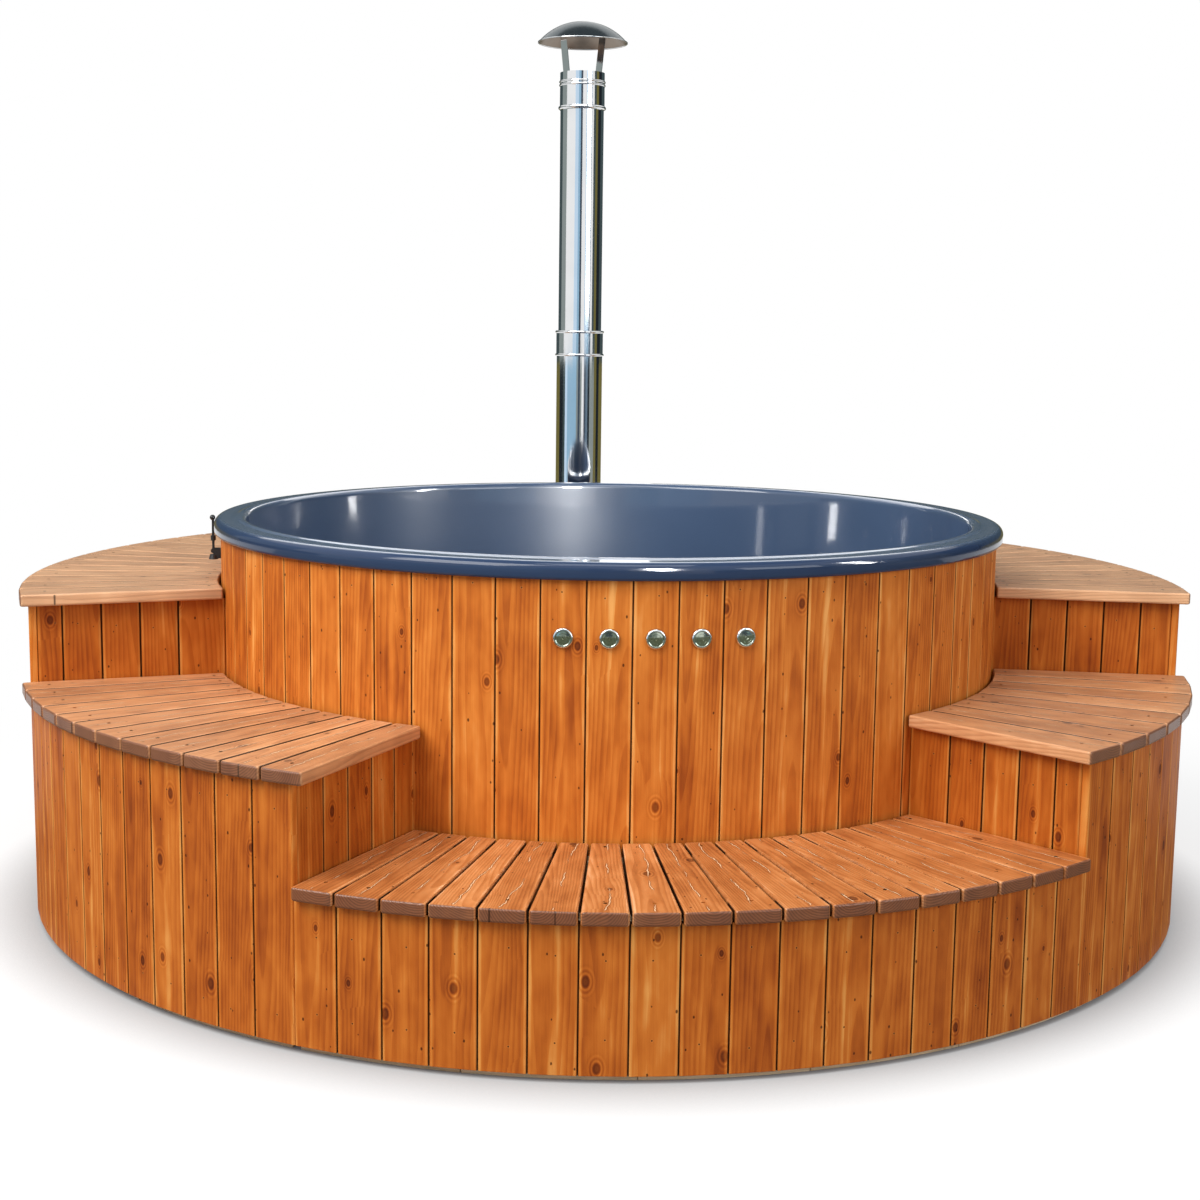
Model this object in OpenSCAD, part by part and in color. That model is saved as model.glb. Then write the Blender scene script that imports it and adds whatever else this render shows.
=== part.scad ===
// Round hot tub: a moulded liner in a wall of upright staves, with a stepped
// timber terrace round three sides and a wood-fired stove with its flue behind.
// Origin: the tub's own axis at ground level. The front, with the buttons, faces -Y.
// An azimuth is counted from the front, towards +X.

/* [Tub] */
// Outer radius of the rim
rim_r = 1000; // [900:5:1100]
// Inside depth of the bath, from its floor to the top of the rim
bath_depth = 822; // [760:1:860]
// Height of the band that hangs down round the rim
rim_band = 42; // [34:1:55]
// Width of the rim from its outer face to the opening
rim_width = 80; // [70:1:88]
// Radius of the rim's rounded outer edge
rim_round = 18; // [10:1:24]
// Radius of the rounded edge at the opening
mouth_round = 16; // [10:1:24]
// Thickness of the moulded liner
liner_t = 8; // [5:0.5:8]
// How far the liner's wall leans in between opening and floor
liner_lean = 50; // [40:1:70]
// Radius of the curve between the liner's wall and floor
liner_fillet = 60; // [40:1:80]
// How far the rim stands out past the stave wall
rim_overhang = 15; // [12:1:20]
// Number of staves round the tub
stave_count = 64; // [56:1:72]
// Thickness of a stave
stave_t = 20; // [18:1:22]
// Height of the seat above the bath's floor
seat_h = 340; // [300:5:380]
// Inner radius of the seat
seat_in_r = 560; // [520:5:600]
// Wall thickness of the moulded seat
seat_t = 6; // [4:0.5:8]
// Azimuth where the seat ends on each side, leaving the stove's bay open
seat_end = 145; // [138:1:148]

/* [Base] */
// Height of the sleepers under the tub
joist_h = 70; // [64:1:90]
// Width of a sleeper
joist_w = 60; // [45:1:70]
// Distance between sleepers
joist_pitch = 250; // [230:5:270]
// Thickness of the plywood deck
deck_t = 18; // [12:1:24]
// Thickness of the foam under the bath
floor_foam_t = 24; // [16:1:40]
// Thickness of the foam behind the staves
wall_foam_t = 28; // [15:1:30]
// Thickness of a plywood rib behind the staves
rib_t = 24; // [18:1:30]

/* [Terrace] */
// Distance from the tub's wall to the terrace's outer wall
terrace_depth = 458; // [420:1:520]
// How far a tread's nosing stands out past the outer wall
nosing = 19; // [14:1:26]
// Height of the low tread above the ground
low_top = 343; // [300:1:380]
// Rise from the low tread to the middle treads
mid_rise = 229; // [200:1:250]
// Rise from the middle treads to the high ones
high_rise = 211; // [180:1:240]
// Thickness of a tread board
tread_t = 28; // [24:1:34]
// Gap between tread boards
tread_gap = 5; // [3:0.5:8]
// How far a tread stands out past the riser below it
tread_overhang = 30; // [20:1:40]
// Azimuth of the riser at the left end of the low tread, to the left
low_left = 30.6; // [28:0.2:33]
// Azimuth of the riser at the right end of the low tread
low_right = 38; // [35:0.2:40]
// Azimuth of the risers up to the high treads, on both sides
high_start = 76.5; // [72:0.5:80]
// Azimuth where the terrace ends, on both sides
terrace_end = 150; // [146:0.5:153]
// Boards in the low tread
low_boards = 18; // [16:1:20]
// Boards in the left middle tread
mid_boards_left = 12; // [10:1:13]
// Boards in the right middle tread
mid_boards_right = 8; // [8:1:11]
// Boards in each high tread
high_boards = 17; // [15:1:20]
// Thickness of the wall and riser boards
board_t = 18; // [15:1:20]
// Width of a board in the outer wall
board_w = 95; // [85:1:110]
// Width of a riser board
riser_w = 90; // [80:1:100]
// Width of the chamfer on a board's arris
groove = 2.5; // [1:0.5:4]
// Height of the rails under the treads and on the ground
rail_h = 45; // [38:1:60]
// Width of a rail, along the radius
rail_w = 40; // [34:1:50]
// Side of a square post
post_w = 45; // [38:1:50]

/* [Buttons] */
// Number of air buttons
button_count = 5; // [3:1:5]
// Height of the buttons above the ground
button_z = 778; // [740:1:800]
// Radius of a button's bezel
bezel_r = 22.5; // [21.5:0.5:26]
// Radius of the cap that is pressed
cap_r = 16; // [14:0.5:16.5]
// Travel of a button
button_travel = 3; // [2:0.5:3.5]
// Radius of the air tube behind a button
air_tube_r = 2.5; // [2:0.5:3]

/* [Blower] */
// Radius of the blower's fan chamber
blower_r = 115; // [105:1:125]
// Height of the blower's motor
motor_h = 150; // [140:1:160]
// Height of the fan chamber
chamber_h = 120; // [110:1:140]
// Bore radius of the air pipe
air_pipe_r = 25; // [20:1:30]

/* [Drain] */
// Place of the bath's drain, to the left of the axis
drain_x = -375; // [-385:1:-365]
// Place of the bath's drain, behind the axis
drain_y = 120; // [80:5:200]
// Height of the drain pipe's centre above the ground
drain_z = 38; // [36:1:40]
// Outer radius of the drain pipe
drain_r = 25; // [20:1:27]
// Radius of the valve's ball
ball_r = 26; // [25:0.5:27]

/* [Stove] */
// Place of the stove to the right of the tub's axis
stove_x = 24; // [-20:1:30]
// Gap between the tub's wall and the stove
stove_gap = 80; // [76:1:120]
// Width of the stove
stove_w = 420; // [400:5:460]
// Length of the stove
stove_d = 600; // [560:5:680]
// Height of the stove's body
stove_h = 610; // [590:5:640]
// Height of the stove's legs
leg_h = 110; // [80:5:140]
// Thickness of the stove's outer skin
skin_t = 3; // [2:0.5:5]
// Wall thickness of the firebox
firebox_t = 5; // [4:0.5:8]
// Width of the water space between the skin and the firebox
water_gap = 45; // [35:1:55]
// Outer radius of the two water pipes
pipe_r = 30; // [25:1:34]
// Height of the lower water pipe
pipe_low_z = 260; // [240:1:300]
// Height of the upper water pipe
pipe_high_z = 620; // [580:1:660]
// Width of the fire door's opening
mouth_w = 260; // [220:5:270]
// Height of the fire door's opening
mouth_h = 250; // [200:5:260]
// Furthest that the ash drawer slides out
drawer_travel = 330; // [200:10:400]

/* [Flue] */
// Distance of the flue's centre from the stove's face at the tub
flue_setback = 125; // [122:1:150]
// Outer radius of the lower flue pipe
flue_r = 72.5; // [70:0.5:74]
// Outer radius of the upper flue pipe
flue_upper_r = 68; // [60:0.5:69]
// Sheet thickness of the flue
flue_t = 1; // [0.8:0.1:2]
// Height of the coupling's lower edge above the ground
coupling_z = 1325; // [1200:5:1400]
// Height of the coupling
coupling_h = 80; // [60:1:100]
// Height of the flue's top above the ground
flue_top = 2200; // [2000:5:2400]
// Radius of the rain cap
cap_brim_r = 140; // [120:1:160]
// Rise of the rain cap's dome
cap_rise = 65; // [50:1:80]
// Free height between the flue's top and the cap's brim
cap_lift = 90; // [70:1:120]
// Width of a cap strap
strap_w = 30; // [20:1:36]
// Thickness of a cap strap
strap_t = 2; // [1.5:0.5:3]

/* [Cover latch] */
// Stave that carries the latch, counted from the front to the left
latch_stave = 16; // [15:1:17]
// Height of the latch's pivot below the rim's band
latch_drop = 56; // [50:1:62]

/* [Hidden] */
$fn = 96;

timber = "#b5612a";
tread_timber = "#b9744a";
sawn_timber = "#c9a06a";
gel_coat = "#4a5d80";
foam = "#e8d9a8";
stainless = "#c3c8cc";
cast_iron = "#2b2b2d";
rubber = "#1b1b1c";
pvc = "#8a9096";

// Clearances
seat_gap = 0.3;      // between pieces that lie against each other
run_gap = 0.05;      // radial, in a running fit
board_joint = 0.6;   // between neighbouring boards
through_gap = 0.3;   // radial, round what passes through a hole
eps = 0.01;

// Heights of the tub
deck_z = joist_h + deck_t;
liner_z = deck_z + floor_foam_t;
bath_z = liner_z + liner_t;
rim_top = bath_z + bath_depth;
rim_low = rim_top - rim_band;
flange_z = rim_top - liner_t;
stave_top = rim_top - rim_round - 0.5 + sqrt(max(0, pow(rim_round - liner_t, 2)
    - pow(max(0, rim_round - rim_overhang), 2)));
seat_z = bath_z + seat_h;

// Radii of the tub
wall_r = rim_r - rim_overhang;
stave_angle = 360 / stave_count;
wall_face = wall_r * cos(stave_angle / 2);
wall_in = wall_face - stave_t;
frame_r = wall_in - seat_gap;
mouth_r = rim_r - rim_width;
foam_r = frame_r - wall_foam_t;
lean_z = bath_z + liner_fillet;
stave_foot = 20;
foot_gap = 15;

function liner_in(z) = mouth_r - liner_lean * (rim_top - mouth_round - z)
    / (rim_top - mouth_round - lean_z);
function liner_out(z) = liner_in(z) + liner_t;
function arc(c, r, a0, a1, n = 8) =
    [for (i = [0:n]) c + r * [cos(a0 + (a1 - a0) * i / n), sin(a0 + (a1 - a0) * i / n)]];

// Terrace
ring_r = wall_r + terrace_depth;
nose_r = ring_r + nosing;
mid_top = low_top + mid_rise;
high_top = mid_top + high_rise;
tread_in_r = wall_r + 6;
rail_out_r = ring_r - board_t - 1.2;
rail_in_r = wall_r + 15;
riser_out_r = ring_r - board_t - 1.2;
riser_in_r = wall_r + seat_gap;
overhang_angle = atan(tread_overhang / ((tread_in_r + nose_r) / 2));

// Stove
stove_y0 = wall_r + stove_gap;
stove_y1 = stove_y0 + stove_d;
stove_top = leg_h + stove_h;
flue_y = stove_y0 + flue_setback;
duct_r = flue_r - flue_t - through_gap;
fire_w = stove_w - 2 * (skin_t + water_gap);
fire_z0 = leg_h + 40;
ash_h = 95;
grate_z = fire_z0 + firebox_t + ash_h + 14;
mouth_z = grate_z + 26;
fire_z1 = mouth_z + mouth_h + 60;
front_gap = seat_gap;
hinge_x = stove_x - mouth_w / 2 - 32;
hinge_y = stove_y1 + 13;
hinge_pin_r = 5;
door_t = 8;
door_half = mouth_w / 2 + 20;
latch_x = stove_x + mouth_w / 2 - 17;
latch_z = mouth_z + mouth_h / 2;
pipe_bore = pipe_r - 4;
stub_l = 34;
vent_z = fire_z0 + firebox_t + 35;
drawer_w = mouth_w - 6;
drawer_l = 480;

// Blower and air pipe
blower_at = (low_right + high_start) / 2;
blower_dist = wall_r + terrace_depth / 2;
air_z = motor_h + chamber_h / 2 + 5;
shaft_r = 6;

// Children are built at the front and turned to an azimuth
module at_azimuth(a) rotate([0, 0, a]) children();

// Children point outwards along +Z from a point at radius r and height z
module outward(a, r, z) at_azimuth(a) translate([0, -r, z]) rotate([90, 0, 0]) children();

// A plate in the plane through the tub's axis, drawn as radius and height
module radial_plate(a, t, points) at_azimuth(a) rotate([0, 0, -90]) rotate([90, 0, 0])
    linear_extrude(t, center = true) polygon(points);

module ring(r_out, r_in, z0, z1) translate([0, 0, z0]) difference() {
    cylinder(r = r_out, h = z1 - z0);
    translate([0, 0, -1]) cylinder(r = r_in, h = z1 - z0 + 2);
}

// A curved bar between two azimuths
module arc_bar(r0, r1, a0, a1, z0, z1) rotate([0, 0, a0 - 90]) rotate_extrude(angle = a1 - a0)
    translate([r0, z0]) square([r1 - r0, z1 - z0]);

// A pipe along +Y
module pipe_y(x, z, y0, y1, r_out, r_in) translate([x, y0, z]) rotate([-90, 0, 0]) difference() {
    cylinder(r = r_out, h = y1 - y0);
    translate([0, 0, -1]) cylinder(r = r_in, h = y1 - y0 + 2);
}

module rod_y(x, z, y0, y1, r) translate([x, y0, z]) rotate([-90, 0, 0]) cylinder(r = r, h = y1 - y0);

// One upright board of a round wall, flat on its face, with chamfered arrises
module wall_board(r, t, a0, a1, z0, z1) {
    half = (a1 - a0) / 2;
    face = r * cos(half);
    w_out = r * sin(half) - board_joint / 2;
    w_in = w_out - t * tan(half);
    at_azimuth(a0 + half) translate([0, 0, z0]) linear_extrude(z1 - z0)
        polygon([[-w_out, groove - face], [groove - w_out, -face], [w_out - groove, -face],
            [w_out, groove - face], [w_in, t - face], [-w_in, t - face]]);
}

module board_row(r, t, a0, a1, count, z0, z1) for (i = [0:count - 1])
    wall_board(r, t, a0 + (a1 - a0) * i / count, a0 + (a1 - a0) * (i + 1) / count, z0, z1);

function wall_count(a0, a1) = round((a1 - a0) * PI / 180 * ring_r / board_w);

module ring_wall(a0, a1, top) color(timber)
    board_row(ring_r, board_t, a0, a1, wall_count(a0, a1), foot_gap, top - tread_t);

// Upright boards in a plane through the tub's axis. side says on which side their backs lie.
module riser_row(a, side, first, top) {
    rest = riser_out_r - first - riser_in_r;
    edges = concat([riser_out_r], [for (i = [0:ceil(rest / riser_w - 0.3) - 1])
        riser_out_r - first - i * riser_w], [riser_in_r]);
    color(timber) at_azimuth(a) translate([0, 0, foot_gap]) linear_extrude(top - tread_t - foot_gap)
        for (i = [0:len(edges) - 2]) {
            far = edges[i] - (i == 0 ? 0 : board_joint / 2);
            near = edges[i + 1] + (i == len(edges) - 2 ? 0 : board_joint / 2);
            polygon([[side * groove, -far], [0, groove - far], [0, -near - groove],
                [side * groove, -near], [side * board_t, -near], [side * board_t, -far]]);
        }
}

// Radial tread boards, a little wider at the nosing, with clipped corners there
module tread_row(a0, a1, count, top) {
    half = (a1 - a0) / count / 2;
    clip = 5;
    color(tread_timber) for (i = [0:count - 1]) at_azimuth(a0 + (2 * i + 1) * half)
        translate([0, 0, top - tread_t]) linear_extrude(tread_t) {
            w_in = tread_in_r * tan(half) - tread_gap / 2;
            w_out = nose_r * tan(half) - tread_gap / 2;
            polygon([[-w_in, -tread_in_r], [-w_out, clip - nose_r], [clip - w_out, -nose_r],
                [w_out - clip, -nose_r], [w_out, clip - nose_r], [w_in, -tread_in_r]]);
        }
}

// Two screws in each board of a tread, into its rails and clear of the risers at lo and hi
module screw_row(a0, a1, count, top, lo, hi) for (i = [0:count - 1],
        r = [rail_in_r + rail_w / 2, rail_out_r - rail_w / 2]) {
    clear = asin((board_t + 8) / r);
    centre = a0 + (a1 - a0) * (i + 0.5) / count;
    at_azimuth(max(lo + clear, min(hi - clear, centre))) translate([0, -r, 0]) {
        translate([0, 0, top - tread_t - 30]) cylinder(r = 2, h = tread_t + 29);
        translate([0, 0, top - 1.2]) cylinder(r = 4, h = 1.2);
    }
}

// Angle that a board standing in a radial plane takes up at radius r
function board_angle(r) = asin((board_t + seat_gap) / r);
function bays(a0, a1) = 2 * ceil((a1 - a0) / 50) + 1;
joint_angle = 0.02;

// A timber sawn round on its outer edge and left straight on its inner one
module sawn_rail(r, a0, a1, z) at_azimuth(a0 - 90) translate([0, 0, z]) linear_extrude(rail_h)
    polygon(concat(arc([0, 0], r + rail_w, 0, a1 - a0, 4), [r * [cos(a1 - a0), sin(a1 - a0)], [r, 0]]));

// Rails of one block: skip0 and skip1 leave room for riser boards at its two ends
module rail_set(a0, a1, skip0, skip1, top) for (r = [rail_in_r, rail_out_r - rail_w],
        z = [0, top - tread_t - rail_h]) {
    n = bays(a0, a1);
    start = a0 + (skip0 ? board_angle(r) : joint_angle);
    end = a1 - (skip1 ? board_angle(r) : joint_angle);
    for (i = [0:n - 1]) sawn_rail(r, i == 0 ? start : a0 + (a1 - a0) * i / n + joint_angle,
        i == n - 1 ? end : a0 + (a1 - a0) * (i + 1) / n - joint_angle, z);
}

// A post on each rail at each bay, and behind each riser
module post_pair(a, shift, top) for (r = [rail_in_r + 2, rail_out_r - 3 - post_w])
    at_azimuth(a) translate([shift - post_w / 2, -r - post_w, rail_h])
        cube([post_w, post_w, top - tread_t - 2 * rail_h]);

module post_set(a0, a1, skip0, skip1, top) {
    end_shift = post_w / 2 + 2;
    for (i = [1:bays(a0, a1) - 1]) post_pair(a0 + (a1 - a0) * i / bays(a0, a1), 0, top);
    post_pair(a0, end_shift + (skip0 ? board_t : 0), top);
    post_pair(a1, -end_shift - (skip1 ? board_t : 0), top);
}

// ---- Tub ----

module base_joists() color(sawn_timber) for (i = [-3:3]) {
    reach = wall_in - 12;
    half = sqrt(pow(reach, 2) - pow(abs(i) * joist_pitch + joist_w / 2, 2));
    translate([i * joist_pitch - joist_w / 2, -half, 0]) cube([joist_w, 2 * half, joist_h]);
}

module base_deck() color(sawn_timber) difference() {
    translate([0, 0, joist_h]) cylinder(r = frame_r, h = deck_t);
    translate([drain_x, drain_y, joist_h - 1]) cylinder(r = drain_r + 6, h = deck_t + 2);
}

module floor_insulation() color(foam) difference() {
    translate([0, 0, deck_z]) cylinder(r = liner_out(lean_z) + 1, h = floor_foam_t);
    translate([drain_x, drain_y, deck_z - 1]) cylinder(r = drain_r + 6, h = floor_foam_t + 2);
}

// Right half of the liner's section, as radius and height
liner_section = concat(
    [[0, liner_z], [liner_in(lean_z) - liner_fillet, liner_z]],
    arc([liner_in(lean_z) - liner_fillet, lean_z], liner_fillet + liner_t, -80, 0),
    arc([mouth_r + mouth_round, rim_top - mouth_round], mouth_round - liner_t, 180, 90, 4),
    [[rim_r - rim_round, flange_z]],
    arc([rim_r - rim_round, rim_top - rim_round], rim_round - liner_t, 80, 0, 4),
    [[rim_r - liner_t, rim_low], [rim_r, rim_low]],
    arc([rim_r - rim_round, rim_top - rim_round], rim_round, 0, 90),
    arc([mouth_r + mouth_round, rim_top - mouth_round], mouth_round, 90, 180),
    arc([liner_in(lean_z) - liner_fillet, lean_z], liner_fillet, 0, -90),
    [[0, bath_z]]);

module tub_liner() color(gel_coat) difference() {
    rotate_extrude() polygon(liner_section);
    translate([drain_x, drain_y, liner_z - 1]) cylinder(r = drain_r + through_gap, h = liner_t + 2);
    for (z = [pipe_low_z, pipe_high_z])
        rod_y(stove_x, z, liner_in(z) - 40, liner_out(z) + 10, pipe_r + through_gap);
    outward(blower_at, liner_in(air_z) - 20, air_z)
        cylinder(r = air_pipe_r + 4 + through_gap, h = liner_t + liner_lean);
}

module seat_ring() {
    out_r = liner_in(seat_z - seat_t) - 0.5;
    web = [[seat_in_r + seat_t - eps, bath_z + seat_gap],
        [liner_in(lean_z) - liner_fillet, bath_z + seat_gap],
        [liner_in(lean_z) - 6, lean_z + 8], [out_r - 2, seat_z - seat_t + eps],
        [seat_in_r + seat_t - eps, seat_z - seat_t + eps]];
    color(gel_coat) difference() {
        union() {
            arc_bar(seat_in_r, seat_in_r + seat_t, -seat_end, seat_end, bath_z + seat_gap,
                seat_z - seat_t);
            arc_bar(seat_in_r, out_r, -seat_end, seat_end, seat_z - seat_t, seat_z);
            for (i = [-3:3])
                radial_plate(i * (seat_end - 1) / 3, seat_t, web);
        }
        arc_bar(nozzle_ring_r + nozzle_inset, nozzle_ring_r + 2 * nozzle_inset, 10 - seat_end,
            seat_end - 10, bath_z + passage_z0, bath_z + passage_z1);
        for (a = nozzle_azimuths) at_azimuth(a) translate([0, -nozzle_ring_r, seat_z - seat_t - 1])
            cylinder(r = nozzle_r + through_gap, h = seat_t + 2);
    }
}

// Passage for the air through the seat's webs, above the bath's floor
passage_z0 = 70;
passage_z1 = 150;
nozzle_r = 5;
nozzle_inset = 60;
nozzle_ring_r = seat_in_r + nozzle_inset;
nozzle_azimuths = [for (i = [-3:2], j = [1, 3]) (i + j / 4) * seat_end / 3];

module air_nozzles() color(stainless) for (a = nozzle_azimuths)
    at_azimuth(a) translate([0, -nozzle_ring_r, seat_z]) difference() {
        union() {
            cylinder(r1 = 10, r2 = 7, h = 3);
            translate([0, 0, -seat_t - 8]) cylinder(r = nozzle_r, h = seat_t + 8 + eps);
        }
        translate([0, 0, -seat_t - 9]) cylinder(r = 1.5, h = seat_t + 14);
    }

module wall_ribs() color(sawn_timber) for (z = [deck_z, (deck_z + flange_z) / 2 - 30,
        flange_z - rib_t])
    ring(frame_r, max(liner_out(max(z + rib_t, lean_z)) + 2, z + rib_t > rim_top - mouth_round
        ? mouth_r + mouth_round + 1 : 0), z, z + rib_t);

module wall_insulation() color(foam) difference() {
    mid_rib = (deck_z + flange_z) / 2 - 30;
    for (span = [[deck_z + rib_t, mid_rib], [mid_rib + rib_t, flange_z - rib_t]])
        ring(frame_r, foam_r, span[0], span[1]);
    arc_bar(foam_r - 5, frame_r + 5, -manifold_half - 2, manifold_half + 2, manifold_z - 20,
        button_z + 40);
    for (z = [pipe_low_z, pipe_high_z])
        rod_y(stove_x, z, foam_r - 20, frame_r + 10, pipe_r + 4);
    outward(blower_at, foam_r - 10, air_z) cylinder(r = air_pipe_r + 8, h = wall_foam_t + 20);
}

module tub_staves() color(timber) difference() {
    board_row(wall_r, stave_t, -stave_angle / 2, 360 - stave_angle / 2, stave_count, stave_foot,
        stave_top);
    for (i = [0:button_count - 1]) outward(button_at(i), wall_in - 10, button_z)
        cylinder(r = thread_r + through_gap, h = stave_t + 20);
    for (z = [pipe_low_z, pipe_high_z])
        rod_y(stove_x, z, wall_in - 20, wall_r + 20, pipe_r + 1);
    rod_y(drain_x, drain_z, 0, wall_r + 20, drain_r + 3);
    outward(blower_at, wall_in - 10, air_z) cylinder(r = air_pipe_r + 5, h = stave_t + 30);
}

// ---- Drain ----

elbow_r = 36;
valve_y0 = wall_r + 15;
valve_l = 84;
socket_l = 31;
socket_r = 25.1;
ball_bore = 18;
stem_r = 6;
valve_y = valve_y0 + valve_l / 2;
valve_out_r = ball_r + 8;

module floor_drain() color(pvc) translate([drain_x, drain_y, 0]) difference() {
    union() {
        translate([0, 0, bath_z]) cylinder(r1 = drain_r + 20, r2 = drain_r + 16, h = 5);
        translate([0, 0, drain_z + elbow_r]) cylinder(r = drain_r, h = bath_z - drain_z - elbow_r + 1);
    }
    translate([0, 0, drain_z]) cylinder(r = drain_r - 3, h = bath_z);
    translate([0, 0, bath_z + 1]) cylinder(r = drain_r + 8, h = 10);
}

module drain_grille() color(stainless) translate([drain_x, drain_y, bath_z + 1 + seat_gap])
    difference() {
        cylinder(r = drain_r + 8 - seat_gap, h = 3);
        for (i = [0:9]) rotate([0, 0, i * 36]) translate([drain_r - 9, 0, -1])
            cylinder(r = 3.5, h = 5);
        for (i = [0:4]) rotate([0, 0, i * 72]) translate([drain_r - 18, 0, -1])
            cylinder(r = 2.5, h = 5);
    }

module drain_pipe() color(pvc) {
    translate([drain_x, drain_y + elbow_r, drain_z + elbow_r]) rotate([0, 90, 180])
        rotate_extrude(angle = 90) translate([elbow_r, 0]) difference() {
            circle(r = drain_r);
            circle(r = drain_r - 3);
        }
    pipe_y(drain_x, drain_z, drain_y + elbow_r, valve_y0, drain_r, drain_r - 3);
}

module drain_valve() color(pvc) difference() {
    union() {
        rod_y(drain_x, drain_z, valve_y0, valve_y0 + valve_l, valve_out_r);
        rod_y(drain_x, drain_z, valve_y0 + valve_l, valve_y0 + valve_l + socket_l, socket_r + 5);
        translate([drain_x, valve_y, drain_z]) cylinder(r = stem_r + 7, h = valve_out_r + 8);
    }
    translate([drain_x, valve_y, drain_z]) sphere(r = ball_r + run_gap);
    rod_y(drain_x, drain_z, valve_y0 - 1, valve_y0 + valve_l + 1, ball_bore);
    rod_y(drain_x, drain_z, valve_y0 + valve_l, valve_y0 + valve_l + socket_l + 1, socket_r);
    translate([drain_x, valve_y, drain_z]) cylinder(r = stem_r + run_gap, h = valve_out_r + 20);
}

// Ball, stem and lever turn as one piece. The valve is shut: the bore lies across the pipe.
module valve_lever() color("#a12a22") translate([drain_x, valve_y, drain_z]) {
    lever_z = valve_out_r + 8 + seat_gap;
    difference() {
        sphere(r = ball_r);
        rotate([0, 90, 0]) cylinder(r = ball_bore, h = 4 * ball_r, center = true);
    }
    translate([0, 0, ball_bore + 2]) cylinder(r = stem_r, h = lever_z - ball_bore);
    translate([0, 0, lever_z]) cylinder(r = stem_r + 7, h = 6);
    translate([-110, -9, lever_z]) cube([110, 18, 6]);
    translate([-110, 0, lever_z]) cylinder(r = 9, h = 6);
}

// ---- Buttons ----

thread_r = 19;
chamber_r = 15;
cap_proud = 6.5;
recess_z = -1.2;
nut_t = 8;
nipple_end = 46;
stem_end = 16;
button_stem_r = 6;

function button_at(i) = (i - (button_count - 1) / 2) * stave_angle;
module at_button(i) outward(button_at(i), wall_face, button_z) children();

// Chrome bezel with a threaded barrel through the stave and a nipple behind
module button_bezels() color(stainless) for (i = [0:button_count - 1]) at_button(i) difference() {
    union() {
        rotate_extrude() polygon(concat([[0, 0], [bezel_r, 0]],
            arc([bezel_r - 3, 3], 3, 0, 60, 4), [[cap_r + 2, 8], [0, 8]]));
        translate([0, 0, -34]) cylinder(r = thread_r, h = 34 + eps);
        translate([0, 0, -nipple_end]) cylinder(r = 3, h = nipple_end - 34 + eps);
    }
    translate([0, 0, recess_z]) cylinder(r = cap_r + run_gap, h = 20);
    translate([0, 0, -10]) cylinder(r = button_stem_r + 0.3, h = 20);
    translate([0, 0, -30]) cylinder(r = chamber_r, h = 20);
    translate([0, 0, -nipple_end - 1]) cylinder(r = 1.5, h = 20);
}

module button_nuts() color(rubber) for (i = [0:button_count - 1]) at_button(i)
    translate([0, 0, -stave_t - nut_t]) difference() {
        cylinder(r = 27, h = nut_t, $fn = 6);
        translate([0, 0, -1]) cylinder(r = thread_r + run_gap, h = nut_t + 2);
    }

// Rolling rubber diaphragm: a deep cup round the stem's end, with room for the travel
module button_diaphragms() color(rubber) for (i = [0:button_count - 1]) at_button(i) {
    cup = button_stem_r + 1;
    depth = stem_end + button_travel + 1.5;
    rotate_extrude() polygon([[cup, -10.3], [chamber_r - 0.3, -10.3], [chamber_r - 0.3, -12],
        [cup + 1.2, -12], [cup + 1.2, -depth - 1.5], [0, -depth - 1.5], [0, -depth],
        [cup, -depth]]);
}

module button_cap(i) color("#7d8b86") at_button(i) difference() {
    union() {
        translate([0, 0, recess_z + button_travel + 0.7])
            cylinder(r = cap_r, h = cap_proud - recess_z - button_travel - 0.7);
        translate([0, 0, -stem_end]) cylinder(r = button_stem_r, h = stem_end + 3);
    }
    translate([0, 0, cap_proud - 1]) ring(cap_r - 2.5, 4.5, 0, 2);
    translate([0, 0, cap_proud + 0.6]) sphere(r = 2);
}

module button_cap_1() button_cap(0);
module button_cap_2() button_cap(min(1, button_count - 1));
module button_cap_3() button_cap(min(2, button_count - 1));
module button_cap_4() button_cap(min(3, button_count - 1));
module button_cap_5() button_cap(min(4, button_count - 1));

manifold_z = button_z - 138;
manifold_h = 40;
manifold_half = 14;
tube_bend = 6;

// From each nipple a bend inwards and down, then straight to the manifold
module air_tubes() color(rubber) for (i = [0:button_count - 1]) {
    r = wall_face - nipple_end;
    at_azimuth(button_at(i)) {
        translate([0, -r, button_z - tube_bend]) rotate([90, 0, 90]) rotate_extrude(angle = 90)
            translate([tube_bend, 0]) circle(r = air_tube_r);
        translate([0, tube_bend - r, manifold_z + manifold_h])
            cylinder(r = air_tube_r, h = button_z - tube_bend - manifold_z - manifold_h);
    }
}

module air_manifold() color(pvc) arc_bar(wall_face - nipple_end - 12, frame_r,
    -manifold_half, manifold_half, manifold_z, manifold_z + manifold_h);

// ---- Blower ----

module at_blower() at_azimuth(blower_at) translate([0, -blower_dist, 0]) children();

module blower_motor() color(cast_iron) at_blower() difference() {
    union() {
        cylinder(r = 62, h = motor_h);
        for (a = [45:90:315]) rotate([0, 0, a]) translate([50, -12, 0]) cube([36, 24, 8]);
    }
    translate([0, 0, 40]) cylinder(r = shaft_r + run_gap, h = motor_h);
}

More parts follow.
